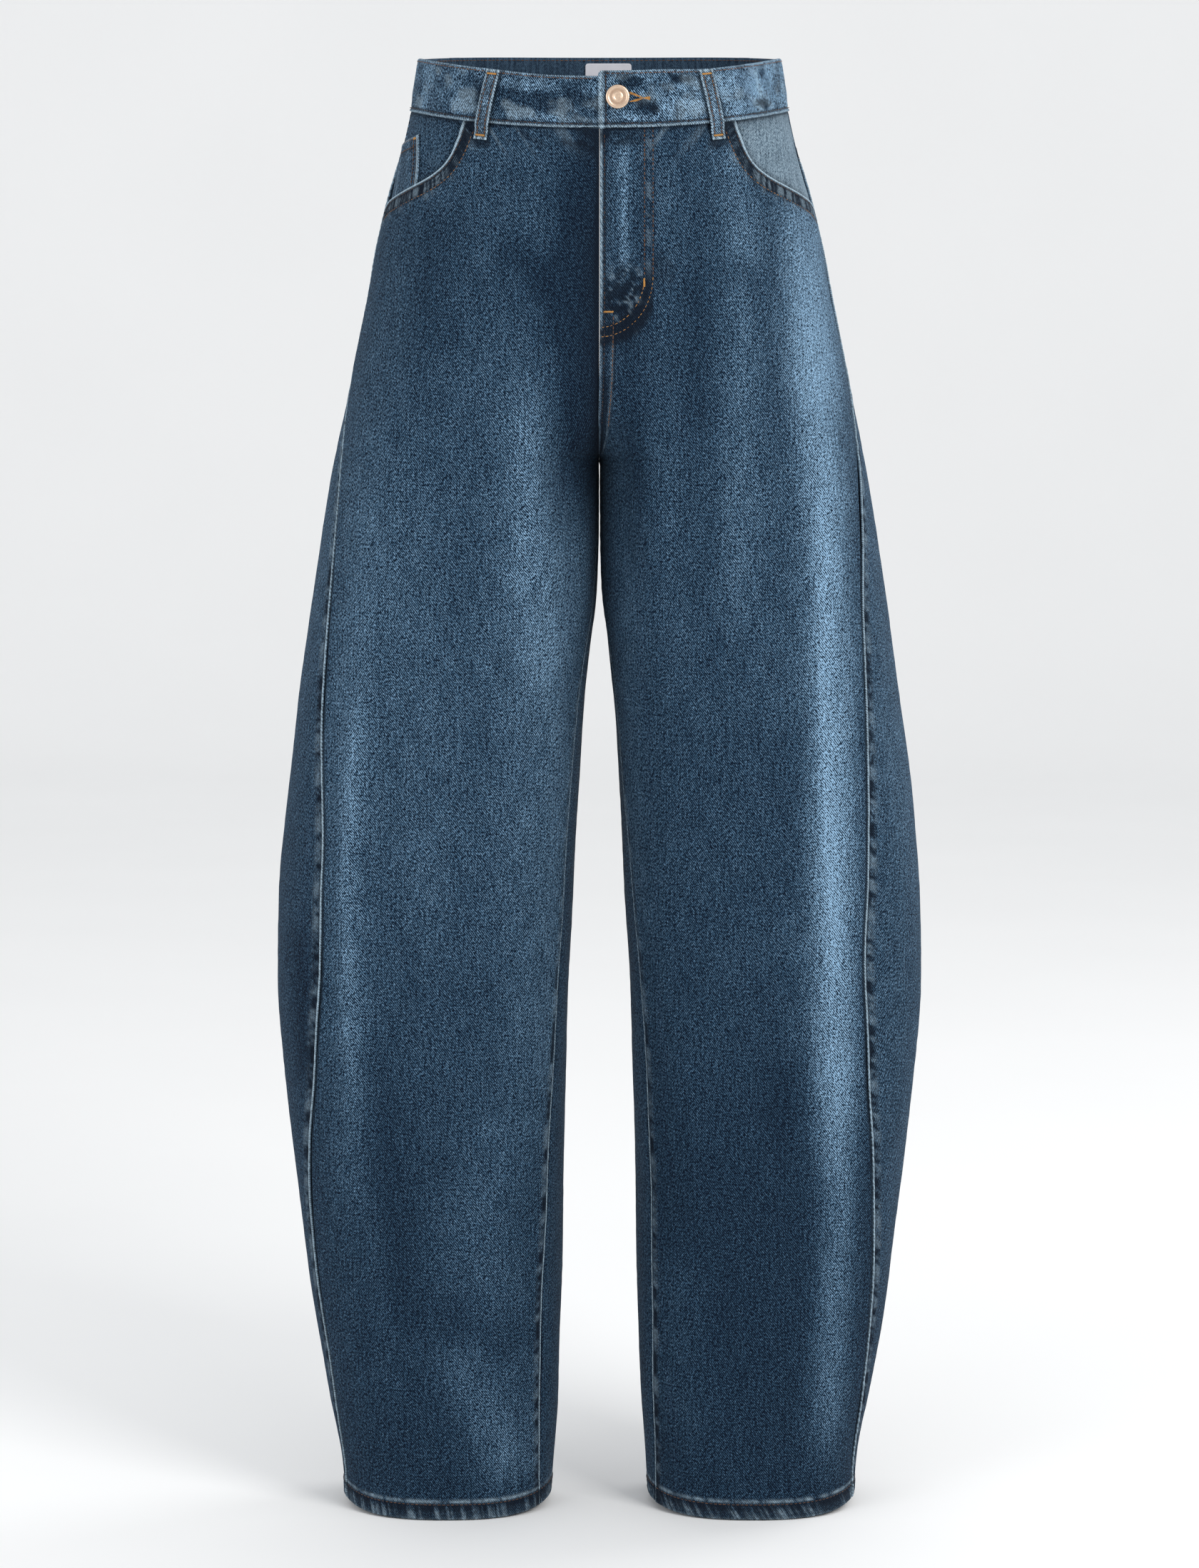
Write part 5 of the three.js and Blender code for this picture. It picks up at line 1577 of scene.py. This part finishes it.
# Every row of stitches, piece by piece.
def sewAll():
    for side in (-1, 1):
        lineD, lineH = openingLine(side)
        sewFaceRow(side, "front", lineD[1:], lineH[1:], 0.62, pocketRows["outer"])
        sewFaceRow(side, "front", lineD[1:], lineH[1:], 0.12, pocketRows["inner"])
        for face in ("front", "back"):
            shares = np.linspace(0.005, 0.995, 120)
            height = garment["hem"] + garment["hemDepth"] - 0.9 + 0 * shares
            for _ in range(2):
                distance = shares * faceWidth(side, face, height)
                height = (garment["hem"] + garment["hemDepth"] - 0.9
                    + hemShift(height, frontness(side, face, height, distance)))
            sewFaceRow(side, face, distance, height, 0.3)
    # The fly: its J, its bars and the felled rows below it
    for width, drop in ((fly["width"], fly["straight"] - fly["point"]), (fly["inner"], fly["innerDrop"])):
        across, down = flyCurve(width, drop)
        sewFaceRow(1, "front", across[:3], down[:3], 0.42)
        sewFaceRow(1, "front", across[2:], down[2:], 0.8)
    sewFaceRow(1, "front", [3.5, 3.5], [-34, -236], 0.1)
    sewFaceRow(1, "front", [1.0 + fly["feltRow"], 1.0 + fly["feltRow"]], [-158, -238], 0.4)
    sewBar(lambda u, v: onFace(1, "front")(v, u), (-136.5, 30.9), (3.0, 0.7), 0.42, 0.95)
    sewBar(onFace(1, "front"), (6.4, -156.7), (3.4, 0.65), 0.42, 0.95)
    # The felled seam of the seat, the yokes and the back pockets
    sewFaceRow(1, "back", [1.9, 1.9], [-96, -248], 0.5)
    sewFaceRow(1, "back", [7.9, 7.9], [-96, -248], 0.5)
    for side in (-1, 1):
        shares = np.linspace(0.01, 0.99, 80)
        for above in (2.2, 8.4):
            height = yokeHeight(shares) + above
            distance = shares * faceWidth(side, "back", height)
            points = clothPoint(side, "back", height, distance, 0.25
                + foldLift(side, "back", height, distance))
            sewRow(points, outward(side, "back", height, distance), 0.5, seed=3 + side)
        for inset in (2.0, 7.6):
            down = np.concatenate([np.linspace(0.005, 1 - inset / 112, 60), np.full(50, 1 - inset / 118),
                np.linspace(1 - inset / 112, 0.005, 60)])
            edge = inset / 117
            across = np.concatenate([np.full(60, edge), np.linspace(edge, 1 - edge, 50),
                np.full(60, 1 - edge)])
            sewPocketRow(side, down, across)
        for depth in (9.6, 12.6):
            across = np.linspace(0.012, 0.988, 60)
            sewPocketRow(side, np.full(60, depth / 118), across)
    # The waistband: near its top, at its foot, inside along the top, and down the over end
    for face, half in (("front", frontHalf), ("back", backHalf)):
        for level, tone, offset in ((band["top"] - 1.9, 0.42, 0.15), (band["foot"] + 2.9, 0.06, -0.3)):
            first = band["overEnd"] + 5.3 if face == "front" else -half
            for low, high in (((first, half), (-half, -4)) if face == "front" else ((-half, half),)):
                place = np.linspace(low, high, 160)
                sewBandRow(face, place, level, band["outside"] + offset, tone, 1)
    sewBandRow("back", np.linspace(-backHalf, backHalf, 200), band["top"] - 2.0, band["inside"] - 0.08,
        0.42, -1)
    sewBandRow("front", np.linspace(14, frontHalf, 90), band["top"] - 2.0, band["inside"] - 0.08, 0.42, -1)
    sewBandRow("front", np.linspace(-frontHalf, -22, 90), band["top"] - 2.0, band["inside"] - 0.08, 0.42, -1)
    level = np.linspace(band["top"] - 1.9, band["foot"] + 2.9, 30)
    sewBandRow("front", np.full(30, band["overEnd"] + 5.3), level, band["outside"] + 0.0, 0.08, 1)
    for name, spot in beltLoops.items():
        down = np.linspace(0.075, 0.93, 50)
        for across in (-0.27, 0.27):
            points, normals = loopPoint(spot, down, np.full(50, across), loopLook["wall"] - 0.2)
            sewRow(points, normals, 0.42, 2.4, seed=len(name))
        for centre in (0.062, 0.938):
            place = lambda u, v: loopPoint(spot, v, u / loopLook["width"], loopLook["wall"] - 0.1)
            sewBar(place, (0.0, centre), (3.5, 0.014), 0.4, 0.95)
    sewCoin()
    sewButtonhole()


# A row round the waistband at a level.
def sewBandRow(face, place, level, offset, tone, turn):
    half = frontHalf if face == "front" else backHalf
    share = place / half
    first = np.abs(share) * faceWidth(1, face, level)
    height = level + waistShift(frontness(1, face, level, first))
    if face == "front":
        height = height + lapTilt(place < band["overEnd"], place, level)
    distance = np.sign(place) * np.abs(share) * faceWidth(1, face, height)
    sewRow(waistPoint(face, height, distance, offset), turn * waistOutward(face, height, distance), tone,
        seed=5)


# A row on a back pocket.
def sewPocketRow(side, down, across):
    height, distance, *_ = backPocketPlace(side, down, across)
    offset = garment["layerGap"] + backPocketLook["wall"] + 0.2 + foldLift(side, "back", height, distance)
    sewRow(clothPoint(side, "back", height, distance, offset), outward(side, "back", height, distance), 0.5,
        seed=9 + side)


# A place on the coin pocket by its distance from its edge and its top.
def coinSurface(fromSide, fromTop):
    across = fromSide / (1000 * coinLook["flat"][0])
    height = coinLook["top"] - coinLook["slope"] * across - fromTop
    begin, _ = coinShares(height, across)
    width = faceWidth(-1, "front", height)
    distance = begin * width + fromSide
    share = distance / width
    offset = (facingOutside(-1, height, share) + garment["layerGap"] + coinLook["wall"]
        + foldLift(-1, "front", height, distance))
    return clothPoint(-1, "front", height, distance, offset + 0.1), outward(-1, "front", height, distance)


# The coin pocket's two rows down, two rows across and its bar.
def sewCoin():
    for fromSide, tone in ((4.1, 0.15), (7.4, 0.4)):
        sewRow(*coinSurface(np.full(40, fromSide), np.linspace(2, 34, 40)), tone, seed=21)
    for fromTop in (2.2, 8.0):
        sewRow(*coinSurface(np.linspace(6, 40, 40), np.full(40, fromTop)), 0.4, seed=23)
    sewBar(coinSurface, (5.6, 2.0), (2.2, 0.9), 0.42, 0.95)


# The buttonhole past the button: two arms of close thread that meet in a point, and its slit end.
def sewButtonhole():
    def place(u, v):
        return waistPoint("front", v, u, band["outside"] + 0.1), waistOutward("front", v, u)

    tip = (30.0, -10.6)
    for dz in (2.9, -3.2):
        count = 26
        t = np.linspace(0, 1, count)
        u, v = (20.6 + (tip[0] - 20.6) * t, buttonLook["height"] + dz * (1 - t) ** 0.9
            + (tip[1] - buttonLook["height"]) * t)
        starts, normals = place(u - 0.3, v - 1.05)
        ends, _ = place(u + 0.5, v + 1.05)
        threads.append((starts, ends, normals, np.random.default_rng(31).uniform(0.7, 1.0, count)))
    count = 12
    u = np.linspace(30, 34.4, count)
    starts, normals = place(u, np.full(count, -12.0))
    ends, _ = place(u + 0.3, np.full(count, -9.2))
    threads.append((starts, ends, normals, np.random.default_rng(33).uniform(0.75, 1.0, count)))


# Every stitch is a small tube between its two ends that rises out of the cloth and dives back in.
def makeThreads():
    starts, ends, normals, tones = (np.concatenate(column) for column in zip(*threads))
    rings, sides = threadLook["rings"], threadLook["sides"]
    t = np.linspace(0, 1, rings)
    curve = threadLook["rise"] * (1 - (2 * t - 1) ** 2) - threadLook["sink"]
    middle = starts[:, None] + (ends - starts)[:, None] * t[:, None] + normals[:, None] * curve[:, None]
    tangent = ends - starts
    tangent = tangent / np.linalg.norm(tangent, axis=1)[:, None]
    across = np.cross(tangent, normals)
    across = across / np.linalg.norm(across, axis=1)[:, None]
    turn = np.linspace(0, 2 * np.pi, sides, endpoint=False)
    radius = threadLook["radius"] * np.where((t == 0) | (t == 1), 0.6, 1.0)
    ringOut = np.cos(turn)[:, None] * normals[:, None] + np.sin(turn)[:, None] * across[:, None]
    points = middle[:, :, None] + radius[:, None, None] * ringOut[:, None]
    count = len(starts)
    number = np.arange(count * rings * sides).reshape(count, rings, sides)
    nextOne = np.roll(number, -1, axis=2)
    tube = np.stack([number[:, :-1], nextOne[:, :-1], nextOne[:, 1:], number[:, 1:]], axis=-1).reshape(-1, 4)
    first, last = number[:, 0], number[:, -1]
    caps = np.concatenate([first[:, [0, 3, 2, 1]], first[:, [0, 5, 4, 3]], last[:, [0, 1, 2, 3]],
        last[:, [0, 3, 4, 5]]])
    quads = np.concatenate([tube, caps])
    if windingVolume(points.reshape(-1, 3), np.concatenate([quads[:, :3], quads[:, [0, 2, 3]]])) < 0:
        quads = quads[:, ::-1]
    tone = np.broadcast_to(tones[:, None, None], number.shape)
    m = Material("sewingThread")
    value = m.attribute("tone")
    place = m.node("ShaderNodeTexCoord", output="Object")
    fuzz = m.node("ShaderNodeTexNoise", None, {"Vector": place, "Scale": 1400.0, "Detail": 2.0})
    low = m.mix((value * 2).clamp(), threadLook["dark"], threadLook["brown"])
    colour = m.mix((value * 2 - 1).clamp(), low, threadLook["tan"])
    colour = m.mix((fuzz * 0.7 - 0.1).clamp(), colour, m.mix(0.5, colour, threadLook["fuzz"]))
    material = m.finish({"Specular IOR Level": 0.3, "Sheen Weight": 0.2}, colour, 0.6 + fuzz * 0.2, fuzz,
        0.0001, 0.4)
    uv = np.zeros((points.size // 3, 2))
    makeMesh("stitches", points, quads, noTriangles, uv, {"tone": tone}, material)
    print("stage: stitches made,", count)


sewAll()
makeThreads()

studio = {
    "floor": -1.0262, "world": 0.78, "worldColour": (0.97, 0.985, 1, 1),
    "floorTone": 0.93, "toneSpread": 0.03, "reach": 5.0, "bendStart": 4.4, "bend": 1.2, "backMiddle": 2.2, "backTop": 4.2,
    "camera": (0.0, -3.4, -0.081), "pitch": 6.99, "lens": 109.13,
}


lamps = {
    "key": {"place": (2.1, -2.7, 1.5), "aim": (0, 0, -0.4), "size": 1.5, "power": 70.0,
            "colour": (1, 0.99, 0.97)},
    "fill": {"place": (-2.4, -2.5, 0.5), "aim": (0, 0, -0.5), "size": 1.8, "power": 27.0,
             "colour": (0.96, 0.98, 1)},
    "rim": {"place": (1.9, 1.2, 1.2), "aim": (0, 0, -0.4), "size": 1.2, "power": 15.0, "colour": (1, 1, 1)},
}


# A square lamp at its place, turned towards its aim.
def light(name, lamp):
    data = bpy.data.lights.new(name, "AREA")
    data.energy, data.color, data.shape, data.size = lamp["power"], lamp["colour"], "SQUARE", lamp["size"]
    made = bpy.data.objects.new(name, data)
    bpy.context.scene.collection.objects.link(made)
    made.location = lamp["place"]
    towards = np.array(lamp["aim"]) - np.array(lamp["place"])
    yaw = math.atan2(towards[0], -towards[1])
    pitch = math.atan2(-math.hypot(towards[0], towards[1]), -towards[2])
    made.rotation_euler = (-pitch, 0, yaw + math.pi)
    return made


# The floor runs back and curves up into the backdrop.
def makeFloor():
    turn = np.linspace(0, np.pi / 2, 24)
    reach, start, bend = studio["reach"], studio["bendStart"], studio["bend"]
    flat = np.linspace(-reach, start, 16)
    y = np.concatenate([flat, start + bend * np.sin(turn[1:]), [start + bend] * 2])
    rise = bend - bend * np.cos(turn[1:])
    z = np.concatenate([0 * flat, rise, [studio["backMiddle"], studio["backTop"]]]) + studio["floor"]
    x = np.linspace(-reach, reach, 21)
    grid = np.stack([np.broadcast_to(x, (len(y), 21)), np.repeat(y[:, None], 21, axis=1),
        np.repeat(z[:, None], 21, axis=1)], axis=-1)
    number = np.arange(grid.size // 3).reshape(len(y), 21)
    quads = np.stack([number[:-1, :-1], number[:-1, 1:], number[1:, 1:], number[1:, :-1]],
        axis=-1).reshape(-1, 4)
    mesh = bpy.data.meshes.new("floor")
    mesh.from_pydata(grid.reshape(-1, 3).tolist(), [], quads.tolist())
    mesh.shade_smooth()
    floor = bpy.data.objects.new("floor", mesh)
    bpy.context.scene.collection.objects.link(floor)
    m = Material("paleFloor")
    place = m.node("ShaderNodeTexCoord", output="Object")
    soft = m.node("ShaderNodeTexNoise", None, {"Vector": place, "Scale": 3.0, "Detail": 2.0})
    tone = studio["floorTone"]
    paler = tone + studio["toneSpread"]
    colour = m.mix(soft, (tone, tone, tone, 1), (paler, paler, paler, 1))
    mesh.materials.append(m.finish({"Specular IOR Level": 0.1, "Roughness": 0.85}, colour))


makeFloor()
world = bpy.data.worlds.new("studio")
bpy.context.scene.world = world
world.use_nodes = True
world.node_tree.nodes["Background"].inputs["Color"].default_value = studio["worldColour"]
world.node_tree.nodes["Background"].inputs["Strength"].default_value = studio["world"]
for name, lamp in lamps.items():
    light(name, lamp)

cameraData = bpy.data.cameras.new("camera")
cameraData.lens, cameraData.sensor_width = studio["lens"], 36.0
camera = bpy.data.objects.new("camera", cameraData)
bpy.context.scene.collection.objects.link(camera)
camera.location = studio["camera"]
camera.rotation_euler = (math.radians(90 - studio["pitch"]), 0, 0)
bpy.context.scene.camera = camera
bpy.context.scene.view_settings.view_transform = "Standard"
print("stage: studio made")

bpy.context.view_layer.update()
